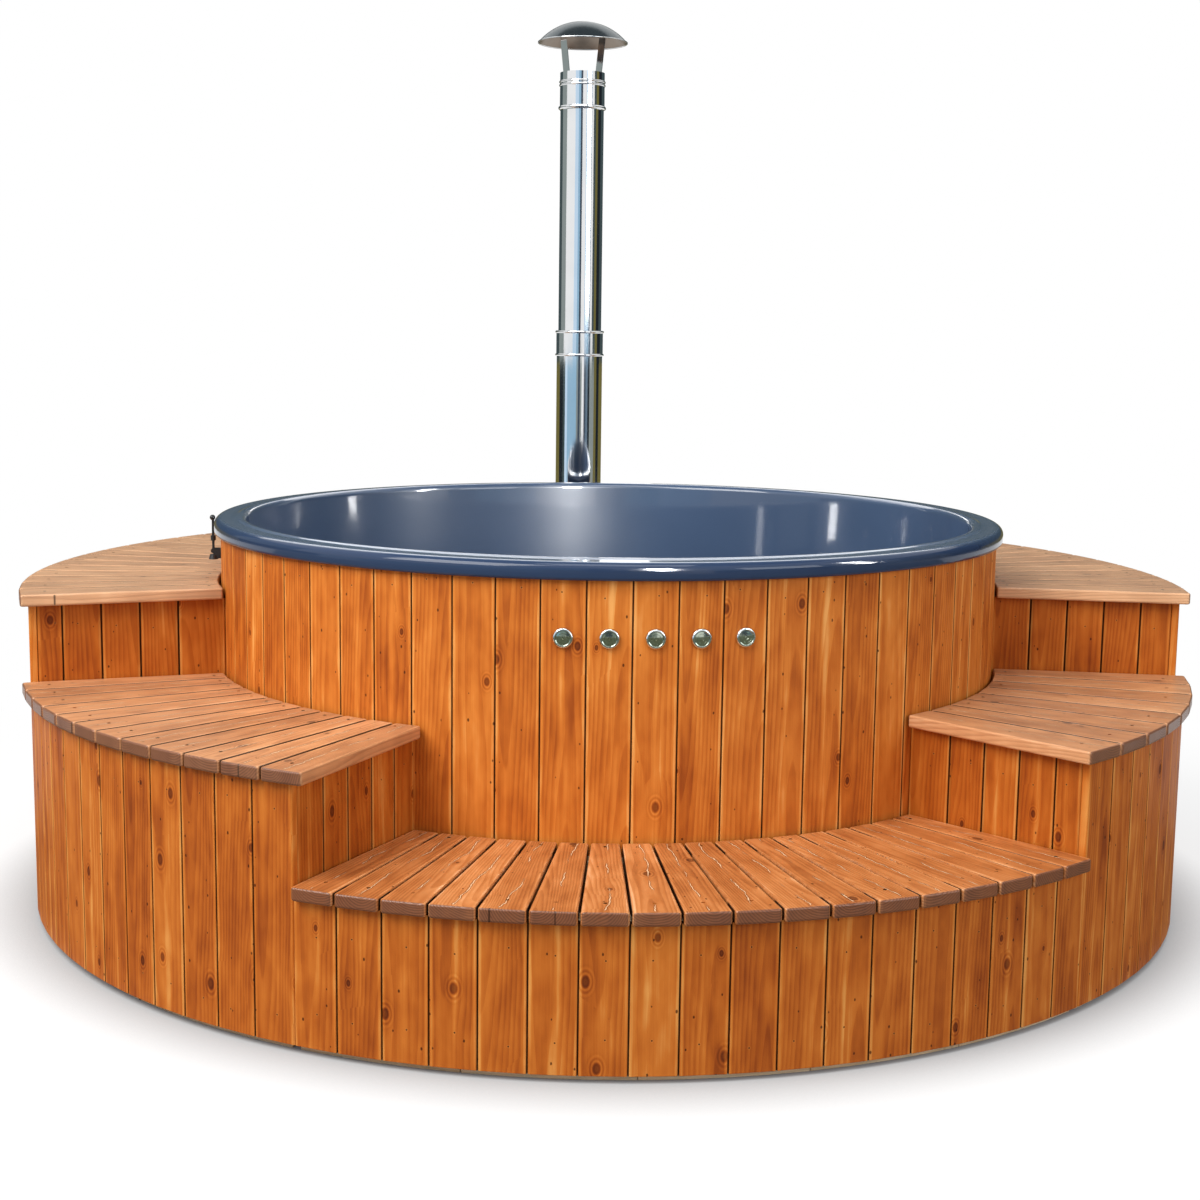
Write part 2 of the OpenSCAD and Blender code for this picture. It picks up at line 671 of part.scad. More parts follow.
module blower_housing() color(pvc) at_blower() difference() {
    union() {
        translate([0, 0, motor_h + seat_gap]) cylinder(r = blower_r, h = chamber_h);
        translate([0, blower_r - 8, air_z]) rotate([-90, 0, 0]) cylinder(r = air_pipe_r, h = 40);
    }
    translate([0, 0, motor_h + seat_gap + 4]) cylinder(r = blower_r - 4, h = chamber_h - 8);
    translate([0, 0, motor_h - 1]) cylinder(r = shaft_r + 3, h = 20);
    translate([0, 0, motor_h + chamber_h - 10]) cylinder(r = 40, h = 20);
    translate([0, blower_r - 20, air_z]) rotate([-90, 0, 0]) cylinder(r = air_pipe_r - 4, h = 60);
}

module blower_fan() color(stainless) at_blower() {
    z0 = motor_h + 12;
    translate([0, 0, 50]) cylinder(r = shaft_r, h = z0 - 50 + eps);
    translate([0, 0, z0]) cylinder(r = blower_r - 20, h = 3);
    translate([0, 0, z0]) cylinder(r = 14, h = 40);
    for (i = [0:9]) rotate([0, 0, i * 36]) translate([blower_r - 66, -1.5, z0 + 3 - eps])
        cube([45, 3, chamber_h - 36]);
}

module air_pipe() color(pvc) outward(blower_at, liner_in(air_z) - 8, air_z) difference() {
    bore = air_pipe_r + run_gap;
    reach = blower_dist - blower_r - 12 - liner_in(air_z) + 8;
    union() {
        cylinder(r = bore + 4, h = reach);
        cylinder(r = bore + 12, h = 4);
    }
    translate([0, 0, -1]) cylinder(r = bore, h = reach + 2);
}

// ---- Cover latch ----

latch_r = wall_r + 23;
latch_at = -latch_stave * stave_angle;
latch_pin_z = rim_low - latch_drop;
latch_pin_r = 2.5;

// Plate on the stave with a bell-shaped foot, two ears and the pin
module latch_bracket() color(rubber) at_azimuth(latch_at) {
    translate([-10, -wall_face - 3, latch_pin_z - 20]) cube([20, 3, 42]);
    translate([0, -latch_r, latch_pin_z - 22]) cylinder(r1 = 12, r2 = 9, h = 12);
    translate([-7, -latch_r, latch_pin_z - 20]) cube([14, latch_r - wall_face - 1, 9]);
    for (x = [-9, 5]) {
        translate([x, -latch_r, latch_pin_z - 12]) cube([4, latch_r - wall_face - 1, 18]);
        translate([x, -latch_r, latch_pin_z]) rotate([0, 90, 0]) cylinder(r = 6, h = 4);
    }
    translate([-9, -latch_r, latch_pin_z]) rotate([0, 90, 0]) cylinder(r = latch_pin_r, h = 18);
}

// Lever that stands up beside the rim, with a bead half way and a knob on top
module latch_lever() color(rubber) at_azimuth(latch_at) difference() {
    translate([0, -latch_r, latch_pin_z]) union() {
        translate([-4.5, 0, 0]) rotate([0, 90, 0]) cylinder(r = 6, h = 9);
        translate([-3, -3, 0]) cube([6, 6, latch_drop + 26]);
        translate([0, 0, 26]) cylinder(r = 6.5, h = 12);
        translate([0, -1, latch_drop + 28]) sphere(r = 7);
    }
    translate([-10, -latch_r, latch_pin_z]) rotate([0, 90, 0])
        cylinder(r = latch_pin_r + run_gap, h = 20);
}

// ---- Terrace ----

// Each block as start, end, riser boards at its start and end, and its top
blocks = [[-low_left, low_right, false, false, low_top],
    [-high_start, -low_left, false, true, mid_top], [low_right, high_start, true, false, mid_top],
    [-terrace_end, -high_start, true, true, high_top],
    [high_start, terrace_end, true, true, high_top]];

module terrace_rails() color(sawn_timber)
    for (b = blocks) rail_set(b[0], b[1], b[2], b[3], b[4]);

module terrace_posts() color(sawn_timber)
    for (b = blocks) post_set(b[0], b[1], b[2], b[3], b[4]);

module low_wall() ring_wall(-low_left, low_right, low_top);

module mid_walls() {
    ring_wall(-high_start, -low_left, mid_top);
    ring_wall(low_right, high_start, mid_top);
}

module high_walls() {
    ring_wall(-terrace_end, -high_start, high_top);
    ring_wall(high_start, terrace_end, high_top);
}

module mid_risers() {
    riser_row(-low_left, -1, riser_w, mid_top);
    riser_row(low_right, 1, 62, mid_top);
}

module high_risers() {
    riser_row(-high_start, -1, 57, high_top);
    riser_row(high_start, 1, 75, high_top);
}

module end_panels() {
    riser_row(-terrace_end, 1, riser_w, high_top);
    riser_row(terrace_end, -1, riser_w, high_top);
}

fit_angle = 0.12;
low_span = [-low_left + fit_angle, low_right - fit_angle];
mid_span_left = [-high_start + fit_angle, -low_left + overhang_angle];
mid_span_right = [low_right - overhang_angle, high_start - fit_angle];
high_span = [high_start - overhang_angle, terrace_end + overhang_angle];

module low_tread() tread_row(low_span[0], low_span[1], low_boards, low_top);

module mid_treads() {
    tread_row(mid_span_left[0], mid_span_left[1], mid_boards_left, mid_top);
    tread_row(mid_span_right[0], mid_span_right[1], mid_boards_right, mid_top);
}

module high_treads() {
    tread_row(-high_span[1], -high_span[0], high_boards, high_top);
    tread_row(high_span[0], high_span[1], high_boards, high_top);
}

module tread_screws() color(stainless) {
    screw_row(low_span[0], low_span[1], low_boards, low_top, -low_left, low_right);
    screw_row(mid_span_left[0], mid_span_left[1], mid_boards_left, mid_top, -high_start, -low_left);
    screw_row(mid_span_right[0], mid_span_right[1], mid_boards_right, mid_top, low_right,
        high_start);
    screw_row(-high_span[1], -high_span[0], high_boards, high_top, -terrace_end, -high_start);
    screw_row(high_span[0], high_span[1], high_boards, high_top, high_start, terrace_end);
}

// ---- Stove ----

module stove_casing() color(stainless) difference() {
    union() {
        translate([stove_x - stove_w / 2, stove_y0, leg_h]) cube([stove_w, stove_d, stove_h]);
        for (x = [-1, 1], y = [stove_y0 + 30, stove_y1 - 70])
            translate([stove_x + x * (stove_w / 2 - 40) - 20, y, 0]) {
                cube([40, 40, leg_h + 1]);
                translate([-8, -8, 0]) cube([56, 56, 6]);
            }
        for (z = [pipe_low_z, pipe_high_z])
            rod_y(stove_x, z, stove_y0 - stub_l, stove_y0 + 1, pipe_r);
    }
    translate([stove_x - stove_w / 2 + skin_t, stove_y0 + skin_t, leg_h + skin_t])
        cube([stove_w - 2 * skin_t, stove_d, stove_h - 2 * skin_t]);
    translate([stove_x, flue_y, stove_top - skin_t - 1]) cylinder(r = duct_r + through_gap, h = 20);
    for (z = [pipe_low_z, pipe_high_z])
        rod_y(stove_x, z, stove_y0 - stub_l - 1, stove_y0 + skin_t + 1, pipe_bore);
}

// Inner fire chamber with its front plate, its duct to the flue, and ledges for the grate
module firebox() color(cast_iron) difference() {
    plate_w = stove_w - 2 * skin_t - 2 * seat_gap;
    plate_h = stove_h - 2 * skin_t - 2 * seat_gap;
    fire_y0 = stove_y0 + skin_t + water_gap;
    union() {
        difference() {
            translate([stove_x - fire_w / 2, fire_y0, fire_z0])
                cube([fire_w, stove_y1 - fire_y0, fire_z1 - fire_z0]);
            translate([stove_x - fire_w / 2 + firebox_t, fire_y0 + firebox_t, fire_z0 + firebox_t])
                cube([fire_w - 2 * firebox_t, stove_d, fire_z1 - fire_z0 - 2 * firebox_t]);
        }
        translate([stove_x - plate_w / 2, stove_y1 - firebox_t, leg_h + skin_t + seat_gap])
            cube([plate_w, firebox_t, plate_h]);
        translate([stove_x, flue_y, fire_z1 - eps])
            cylinder(r = duct_r, h = stove_top + 40 - fire_z1);
        for (x = [-fire_w / 2 + firebox_t - eps, fire_w / 2 - firebox_t - 14 + eps])
            translate([stove_x + x, fire_y0 + 10, grate_z - 8])
                cube([14, stove_y1 - firebox_t - fire_y0 - 12, 8]);
        for (z = hinge_heights) {
            translate([hinge_x, hinge_y, z - 16]) cylinder(r = 10, h = 15.7);
            translate([hinge_x - 10, stove_y1 - eps, z - 16])
                cube([20, hinge_y - stove_y1, 15.7]);
        }
        translate([latch_x + 40, stove_y1 - eps, latch_z - 22]) {
            cube([18, 34, 12]);
            translate([0, 29, 0]) cube([18, 5, 26]);
        }
    }
    translate([stove_x - mouth_w / 2, stove_y1 - 20, mouth_z]) cube([mouth_w, 40, mouth_h]);
    translate([stove_x - mouth_w / 2, stove_y1 - 20, fire_z0 + firebox_t])
        cube([mouth_w, 40, ash_h - 6]);
    translate([stove_x, flue_y, fire_z1 - 2 * firebox_t])
        cylinder(r = duct_r - 4, h = stove_top);
    for (z = hinge_heights) translate([hinge_x, hinge_y, z - 40])
        cylinder(r = hinge_pin_r + run_gap, h = 80);
}

hinge_heights = [mouth_z + 30, mouth_z + mouth_h - 30];

module grate() color(cast_iron) {
    y0 = stove_y0 + skin_t + water_gap + firebox_t + 6;
    y1 = stove_y1 - firebox_t - 6;
    half = fire_w / 2 - firebox_t - 2;
    slots = 14;
    pitch = (y1 - y0) / slots;
    translate([stove_x, 0, grate_z]) difference() {
        translate([-half, y0, 0]) cube([2 * half, y1 - y0, 12]);
        for (i = [0:slots - 1], x = [-half + 22, 8]) translate([x, y0 + i * pitch + pitch / 4, -1])
            cube([half - 30, pitch / 2, 14]);
    }
}

// Open-topped ash box with its front plate and bar handle
module ash_drawer() color(cast_iron) {
    z0 = fire_z0 + firebox_t + seat_gap;
    box_h = ash_h - 18;
    face_y = stove_y1 + front_gap;
    face_z = z0 - 8;
    face_h = ash_h + 10;
    difference() {
        union() {
            translate([stove_x - drawer_w / 2, stove_y1 - drawer_l, z0])
                cube([drawer_w, drawer_l + front_gap + 1, box_h]);
            translate([stove_x - mouth_w / 2 - 15, face_y, face_z]) cube([mouth_w + 30, 4, face_h]);
            for (x = [-60, 54]) translate([stove_x + x, face_y + 3, face_z + face_h - 22])
                cube([6, 26, 8]);
            translate([stove_x - 70, face_y + 27, face_z + face_h - 18]) rotate([0, 90, 0])
                cylinder(r = 6, h = 140);
        }
        translate([stove_x - drawer_w / 2 + 2, stove_y1 - drawer_l + 2, z0 + 2])
            cube([drawer_w - 4, drawer_l - 4, box_h]);
        rod_y(stove_x, vent_z, stove_y1 - 10, face_y + 10, 4 + run_gap);
        for (a = [0:90:270]) rod_y(stove_x + 17 * cos(a), vent_z + 17 * sin(a),
            stove_y1 - 10, face_y + 10, 6);
    }
}

// Round air shutter, riveted to the drawer's front
module air_vent() color(stainless) {
    face_y = stove_y1 + front_gap + 4;
    difference() {
        union() {
            rod_y(stove_x, vent_z, face_y + seat_gap, face_y + 3 + seat_gap, 28);
            rod_y(stove_x, vent_z, face_y, face_y + 12, 4);
            rod_y(stove_x, vent_z, face_y + 11, face_y + 20, 9);
            rod_y(stove_x, vent_z, stove_y1 - 6, face_y + 1, 4);
            rod_y(stove_x, vent_z, stove_y1 - 6, stove_y1 - 2 - seat_gap - 1, 7);
        }
        for (a = [0:90:270]) rod_y(stove_x + 17 * cos(a), vent_z + 17 * sin(a),
            face_y - 5, face_y + 5, 6);
    }
}

module stove_door() color(cast_iron) {
    y0 = stove_y1 + front_gap;
    difference() {
        union() {
            translate([stove_x - door_half, y0, mouth_z - 20])
                cube([2 * door_half, door_t, mouth_h + 40]);
            translate([stove_x - mouth_w / 2 + 35, y0 - 10, mouth_z + 12])
                cube([mouth_w - 70, 11, mouth_h - 24]);
            for (z = hinge_heights) {
                translate([hinge_x, hinge_y, z]) cylinder(r = 10, h = 18);
                translate([hinge_x, y0 + 3, z]) cube([stove_x - door_half - hinge_x + 20, 10, 18]);
            }
        }
        for (z = hinge_heights) translate([hinge_x, hinge_y, z - 20])
            cylinder(r = hinge_pin_r + run_gap, h = 60);
        rod_y(latch_x, latch_z, y0 - 20, y0 + 30, 6 + run_gap);
    }
}

module hinge_pins() color(stainless) for (z = hinge_heights) translate([hinge_x, hinge_y, 0]) {
    translate([0, 0, z - 18]) cylinder(r = hinge_pin_r, h = 38);
    translate([0, 0, z + 18.3]) cylinder(r = 8, h = 4);
}

// Latch at rest: unlatched, its grip hanging. Turned down to the side, its tongue
// goes behind the catch on the frame.
module door_latch() color(stainless) {
    y0 = stove_y1 + front_gap + door_t;
    rod_y(latch_x, latch_z, y0 - door_t - 5, y0 + 34, 6);
    rod_y(latch_x, latch_z, y0 - door_t - 5, y0 - door_t - seat_gap, 10);
    rod_y(latch_x, latch_z, y0 + seat_gap, y0 + 8, 12);
    translate([latch_x - 7, y0 + 8, latch_z - 8]) cube([14, 6, 68]);
    rod_y(latch_x, latch_z, y0 + 28, y0 + 38, 10);
    translate([latch_x, y0 + 33, latch_z - 118]) cylinder(r = 8, h = 112);
}

// ---- Water pipes between stove and tub ----

module tub_flanges() color(stainless) for (z = [pipe_low_z, pipe_high_z]) {
    flange_r = pipe_r + 18;
    back = sqrt(pow(liner_in(z - flange_r), 2) - pow(flange_r + abs(stove_x), 2)) - 0.2;
    difference() {
        union() {
            rod_y(stove_x, z, back - 6, back, flange_r);
            rod_y(stove_x, z, back - 6, wall_r + stub_l, pipe_r);
        }
        rod_y(stove_x, z, back - 10, wall_r + stub_l + 1, pipe_bore);
    }
    pipe_y(stove_x, z, wall_face + seat_gap, wall_r + 12, pipe_r + 13, pipe_r + run_gap);
}

hose_y0 = wall_r + 13;
hose_y1 = stove_y0 - 13;

module stove_hoses() color(rubber) for (z = [pipe_low_z, pipe_high_z])
    pipe_y(stove_x, z, hose_y0, hose_y1, pipe_r + 5, pipe_r + 0.1);

module hose_clamps() color(stainless) for (z = [pipe_low_z, pipe_high_z],
        y = [hose_y0 + 4, hose_y1 - 14]) difference() {
    union() {
        rod_y(stove_x, z, y, y + 10, pipe_r + 6.5);
        translate([stove_x - 8, y - 1, z + pipe_r + 4]) cube([16, 12, 11]);
        translate([stove_x - 14, y + 5, z + pipe_r + 10]) rotate([0, 90, 0]) cylinder(r = 3.5, h = 28);
    }
    rod_y(stove_x, z, y - 2, y + 12, pipe_r + 5 + run_gap);
}

// ---- Flue ----

module at_flue(z) translate([stove_x, flue_y, z]) children();

// A turned sleeve with a rounded bead at each [height, radius] in beads
module beaded_sleeve(r_in, r_out, z0, z1, beads) difference() {
    union() {
        translate([0, 0, z0]) cylinder(r = r_out, h = z1 - z0);
        for (bead = beads) rotate_extrude() polygon(concat([[r_in + 0.2, bead[0] - bead[1]]],
            arc([r_out, bead[0]], bead[1], -90, 90, 8), [[r_in + 0.2, bead[0] + bead[1]]]));
    }
    translate([0, 0, z0 - 10]) cylinder(r = r_in, h = z1 - z0 + 20);
}

pipe_split = coupling_z + 38;
coupling_bead_r = 4;
collar_beads = [[-107, 5.5], [-38, 3.5], [-28, 3.5]];

module flue_lower() color(stainless) at_flue(0)
    ring(flue_r, flue_r - flue_t, stove_top + seat_gap, pipe_split);

module flue_coupling() color(stainless) at_flue(0) difference() {
    beaded_sleeve(flue_upper_r + run_gap, flue_r + 1.3, coupling_z, coupling_z + coupling_h,
        [for (z = [coupling_bead_r, coupling_h - coupling_bead_r])
            [coupling_z + z, coupling_bead_r]]);
    translate([0, 0, coupling_z - 10]) cylinder(r = flue_r + run_gap, h = 48 + seat_gap);
}

module flue_upper() color(stainless) at_flue(0)
    ring(flue_upper_r, flue_upper_r - flue_t, coupling_z + 5, flue_top - 4);

module cap_collar() color(stainless) at_flue(0)
    beaded_sleeve(flue_upper_r + run_gap, flue_upper_r + 1.5, flue_top - 114, flue_top,
        [for (bead = collar_beads) [flue_top + bead[0], bead[1]]]);

dome_t = 1.5;
dome_r = (pow(cap_brim_r, 2) + pow(cap_rise, 2)) / (2 * cap_rise);
dome_c = flue_top + cap_lift + cap_rise - dome_r;
dome_half = asin(cap_brim_r / dome_r);
function dome_under(r) = dome_c + sqrt(pow(dome_r - dome_t, 2) - pow(r, 2));

module rain_cap() color(stainless) at_flue(0) rotate_extrude() polygon(concat(
    arc([0, dome_c], dome_r, 90 - dome_half, 90, 16),
    arc([0, dome_c], dome_r - dome_t, 90, 90 - dome_half, 16)));

// Two flat straps from inside the collar out to the dome
module cap_straps() color(stainless) at_flue(0) {
    foot = sqrt(pow(flue_upper_r - flue_t - run_gap, 2) - pow(strap_w / 2, 2)) - strap_t;
    head = flue_upper_r + 12;
    knee = flue_top + 2;
    head_z = dome_under(norm([head + strap_t, strap_w / 2])) - seat_gap;
    for (a = [124, -56]) radial_plate(a, strap_w, [[foot, knee - 70], [foot + strap_t, knee - 70],
        [foot + strap_t, knee], [head + strap_t, head_z], [head, head_z], [foot, knee]]);
}

base_joists();
base_deck();
floor_insulation();
tub_liner();
seat_ring();
wall_ribs();
wall_insulation();
tub_staves();
floor_drain();
drain_grille();
drain_pipe();
drain_valve();
valve_lever();
button_bezels();
button_nuts();
button_diaphragms();
button_cap_1();
button_cap_2();
button_cap_3();
button_cap_4();
button_cap_5();
air_tubes();
air_manifold();
blower_housing();
blower_motor();
blower_fan();
air_pipe();
air_nozzles();
latch_bracket();
latch_lever();
terrace_rails();
terrace_posts();
low_wall();
mid_walls();
high_walls();
mid_risers();
high_risers();
end_panels();
low_tread();
mid_treads();
high_treads();
tread_screws();
stove_casing();
firebox();
grate();
ash_drawer();
air_vent();
stove_door();
door_latch();
hinge_pins();
stove_hoses();
hose_clamps();
tub_flanges();
flue_lower();
flue_coupling();
flue_upper();
cap_collar();
cap_straps();
rain_cap();
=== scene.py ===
# %% [markdown]
# # A round wooden hot tub, dressed for its portrait
# The model arrives from CAD with every piece in its place and at its real size.
# What is left is the looks: boards with softened edges and real grain, a glossy
# moulded bath, polished flue pipes, chromed buttons, and quiet studio light.
# Everything here is in metres, in the same frame as the CAD.

import math
import random

import bmesh
import bpy
import numpy as np
from mathutils import Matrix, Vector


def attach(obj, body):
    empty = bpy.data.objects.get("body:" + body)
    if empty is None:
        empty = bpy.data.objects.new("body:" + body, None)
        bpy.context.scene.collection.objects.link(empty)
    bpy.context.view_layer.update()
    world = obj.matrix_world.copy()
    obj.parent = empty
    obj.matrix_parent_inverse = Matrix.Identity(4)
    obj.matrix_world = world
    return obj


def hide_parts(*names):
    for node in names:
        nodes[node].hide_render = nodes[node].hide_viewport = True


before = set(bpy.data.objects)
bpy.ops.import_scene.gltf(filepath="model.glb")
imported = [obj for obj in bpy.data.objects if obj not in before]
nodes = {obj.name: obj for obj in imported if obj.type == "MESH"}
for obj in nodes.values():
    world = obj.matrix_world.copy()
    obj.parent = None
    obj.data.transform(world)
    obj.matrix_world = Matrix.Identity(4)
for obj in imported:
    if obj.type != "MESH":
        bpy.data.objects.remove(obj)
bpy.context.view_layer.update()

# %% [markdown]
# ## Camera
# The photograph was taken from about shoulder height, almost five metres from the
# tub's axis and a few degrees to its left. A constraint could aim a camera at the
# tub, but the picture also leans a little, so the camera gets a whole matrix. Its
# numbers were found by fitting the ellipse of the rim, the edges of the steps and
# the row of buttons. The lens is long, because the front hardly bulges.

# %% Camera
CAMERA_TURN_DEG = -5.95
CAMERA_DISTANCE = 4.79
CAMERA_HEIGHT = 1.4201
PITCH, YAW, ROLL = -0.1463, -0.004, 0.0129
FOCAL_PIXELS, IMAGE_PIXELS, SENSOR_MM = 1858.5, 1200, 36.0


def add_camera():
    """A camera that looks the way the photograph does."""
    ahead = Vector((math.sin(YAW) * math.cos(PITCH), math.cos(YAW) * math.cos(PITCH), math.sin(PITCH)))
    side = Vector((math.cos(YAW), -math.sin(YAW), 0))
    up = side.cross(ahead)
    right = math.cos(ROLL) * side + math.sin(ROLL) * up
    top = -math.sin(ROLL) * side + math.cos(ROLL) * up
    turn = Matrix.Rotation(math.radians(CAMERA_TURN_DEG), 4, "Z")
    place = Matrix((right, top, -ahead)).transposed().to_4x4()
    place.translation = Vector((0, -CAMERA_DISTANCE, CAMERA_HEIGHT))
    data = bpy.data.cameras.new("portrait_camera")
    data.sensor_width = SENSOR_MM
    data.lens = FOCAL_PIXELS * SENSOR_MM / IMAGE_PIXELS
    camera = bpy.data.objects.new("portrait_camera", data)
    camera.matrix_world = turn @ place
    bpy.context.scene.collection.objects.link(camera)
    bpy.context.scene.camera = camera
    print("lens", round(data.lens, 2), "mm at", [round(v, 3) for v in camera.matrix_world.translation])


add_camera()
bpy.context.scene.view_settings.view_transform = "Standard"

# %% [markdown]
# ## Shader maths as Python
# A material is a small program. It could be wired node by node, but `1 - mask` is
# easier to read than a chain of Math nodes. So one class wraps a socket and turns
# Python's operators into nodes, and another makes any node from its type, its
# settings and what is plugged into it.


# %% A socket that understands operators
class Signal:
    """One output socket of a material. Arithmetic on it adds Math nodes."""

    def __init__(self, finish, socket):
        self.finish, self.socket = finish, socket

    def math(self, operation, *others):
        return self.finish.node("ShaderNodeMath", {"operation": operation}, self, *others).out()

    def __add__(self, other):
        return self.math("ADD", other)

    __radd__ = __add__

    def __mul__(self, other):
        return self.math("MULTIPLY", other)

    __rmul__ = __mul__

    def __sub__(self, other):
        return self.math("SUBTRACT", other)

    def __rsub__(self, other):
        return self.finish.node("ShaderNodeMath", {"operation": "SUBTRACT"}, other, self).out()

    def __truediv__(self, other):
        return self.math("DIVIDE", other)

    def __neg__(self):
        return self * -1

    def __pow__(self, other):
        return self.math("POWER", other)

    def __abs__(self):
        return self.math("ABSOLUTE")


# %% A material under construction
class Made:
    """A node that was just made: its outputs by name or number."""

    def __init__(self, finish, made):
        self.finish, self.made = finish, made

    def out(self, key=0):
        return Signal(self.finish, self.made.outputs[key])


class Finish:
    """A material or world under construction, with one method that makes any node."""

    def __init__(self, name, world=False):
        self.owner = (bpy.data.worlds if world else bpy.data.materials).new(name)
        self.owner.use_nodes = True
        self.tree = self.owner.node_tree
        self.tree.nodes.clear()
        self.sheet = self.tree.nodes.new("ShaderNodeOutputWorld" if world else "ShaderNodeOutputMaterial")

    def node(self, kind, settings=None, *plugs, **named):
        made = self.tree.nodes.new(kind)
        for key, value in (settings or {}).items():
            if key == "stops":
                ramp = made.color_ramp
                while len(ramp.elements) < len(value):
                    ramp.elements.new(0.5)
                for element, (place, colour) in zip(ramp.elements, value):
                    element.position, element.color = place, (*colour, 1)
            else:
                setattr(made, key, value)
        for key, value in list(enumerate(plugs)) + [(k.replace("_", " "), v) for k, v in named.items()]:
            self.plug(value, made.inputs[key])
        return Made(self, made)

    def plug(self, value, target):
        """Links a socket, or writes a number or colour."""
        if isinstance(value, Signal):
            self.tree.links.new(value.socket, target)
        elif target.type == "RGBA" and len(value) == 3:
            target.default_value = (*value, 1)
        else:
            target.default_value = value

    def place(self):
        return self.node("ShaderNodeTexCoord").out("Object")

    def mark(self, name):
        return self.node("ShaderNodeAttribute", {"attribute_name": name})

    def split(self, vector):
        parts = self.node("ShaderNodeSeparateXYZ", None, vector)
        return [parts.out(i) for i in range(3)]

    def join(self, x, y, z):
        return self.node("ShaderNodeCombineXYZ", None, x, y, z).out()

    def noise(self, vector, scale=1.0, detail=2.0):
        return self.node("ShaderNodeTexNoise", None, Vector=vector, Scale=scale, Detail=detail).out("Fac")

    def mix(self, share, first, second):
        """A Mix node keeps the sockets of its colour form at places 6 and 7."""
        mixed = self.node("ShaderNodeMix", {"data_type": "RGBA"}, share)
        self.plug(first, mixed.made.inputs[6])
        self.plug(second, mixed.made.inputs[7])
        return mixed.out(2)

    def step(self, value, low, high):
        """0 below low, 1 above high, smooth between. With low above high it falls instead."""
        span = (low, high, 0.0, 1.0) if low < high else (high, low, 1.0, 0.0)
        return self.node("ShaderNodeMapRange", {"interpolation_type": "SMOOTHSTEP"}, value, *span).out()

    def bump(self, height, strength, distance):
        return self.node("ShaderNodeBump", None, Strength=strength, Distance=distance, Height=height).out()

    def show(self, shader):
        self.plug(shader, self.sheet.inputs["Surface"])
        return self.owner

    def finish(self, **sockets):
        return self.show(self.node("ShaderNodeBsdfPrincipled", None, **sockets).out())


def darker(colour, share):
    return tuple(c * share for c in colour)


print("shader helpers ready")

# %% [markdown]
# ## Stained softwood
# The walls are planed softwood boards under an orange-brown stain. A stretched
# noise would give streaks, but no flames, so each board is a slice of its own tree:
# rings round a pith that runs along the board at a slight angle, a few centimetres
# behind its face, and flames where the rings meet the face. Knots push the grain
# aside and ring themselves.
#
# Every board carries four marks in its mesh: `grain`, a place in metres from the
# middle of its own face; `size`, its half width, how fast that grows, and its half
# length; `board`, a number of its own that moves every pattern and sets its tone;
# and `beside`, 1 for each long side that has a neighbour.


# %% Where a point lies on its board
class Spot:
    """A point of a board, read from the board's marks."""

    def __init__(self, f):
        self.across, self.along, self.deep = f.split(f.mark("grain").out("Vector"))
        half, growth, reach = f.split(f.mark("size").out("Vector"))
        self.own = f.mark("board").out("Fac")
        self.own_2, self.own_3 = (self.own * 7.31).math("FRACT"), (self.own * 13.7).math("FRACT")
        self.x, self.y = self.across + self.own * 40, self.along + self.own_2 * 60
        self.from_side = half + growth * self.along - abs(self.across)
        self.from_end = reach - abs(self.along)


def dirt_and_shade_in_joint(f, spot, dirt_and_shade_depth):
    """Dirt and painted shade in the joint between two boards: 1 in its depth, 0 on the face."""
    left, right, _ = f.split(f.mark("beside").out("Vector"))
    neighbour = left + (right - left) * f.step(spot.across, -0.001, 0.001)
    return neighbour * f.step(spot.from_side, 0.0095, 0.0075) * f.step(-spot.deep, *dirt_and_shade_depth)


# %% Knots
KNOT_CELL, KNOT_SIZES, DRAWN_OUT = 0.16, (0.0045, 0.011), 0.4
PIN_CELL, PIN_SIZES, PIN_CHANCE = 0.055, (0.0011, 0.0024), 0.34


def knots_on(f, spot, cell, chance, sizes):
    """Scattered knots, at most one in each cell and drawn out along the board: how far out in
    knot radii a point lies, where the knot is, and 1 if there is one."""
    cells = f.node("ShaderNodeTexVoronoi", {"voronoi_dimensions": "2D"},
                   Vector=f.join(spot.x, spot.y, 0.0), Scale=1 / cell)
    knot_x, knot_y, _ = f.split(cells.out("Position"))
    luck, size, _ = f.split(cells.out("Color"))
    from_x, from_y = spot.x - knot_x, spot.y - knot_y
    small, large = sizes
    reach = (from_x * from_x + from_y * from_y * DRAWN_OUT) ** 0.5 / (size * (large - small) + small)
    return reach, from_x, from_y, f.step(luck, chance, chance - 0.02)


# %% Rings
PITH_DEPTH, PITH_DEEPER, PITH_ASIDE = 0.018, 0.05, 0.11
LEAN_ASIDE, LEAN_INWARDS, RING_WANDER = 0.05, 0.11, 0.018


def late_wood(f, spot, ring, push):
    """1 in the dark outer part of each yearly ring, and 0 in its pale inner part."""
    wander = f.noise(f.join(spot.x * 11, spot.y * 2.0, spot.deep * 11))
    aside = (spot.across - push + (spot.own_2 - 0.5) * PITH_ASIDE
             + spot.along * (spot.own_3 - 0.5) * LEAN_ASIDE)
    behind = (spot.deep - PITH_DEPTH - spot.own_3 * PITH_DEEPER
              + spot.along * (spot.own_2 - 0.5) * LEAN_INWARDS)
    radius = (aside * aside + behind * behind) ** 0.5 + (wander - 0.5) * RING_WANDER
    band = (radius / ring).math("FRACT")
    return f.step(band, 0.25, 0.85) * f.step(band, 1.0, 0.92)


# %% [markdown]
# ## Nails and cracks
# Small sunk nail heads hold the wall boards near their ends, and years of wet feet
# have opened the middle of the tread boards into pale, ragged cracks. Both could be
# cut into the mesh, but they are less than a millimetre deep, so colour and bump
# are enough.


# %% Nails and cracks
NAIL_R, NAIL_IN, NAIL_WANDER = 0.0021, 0.045, 0.03


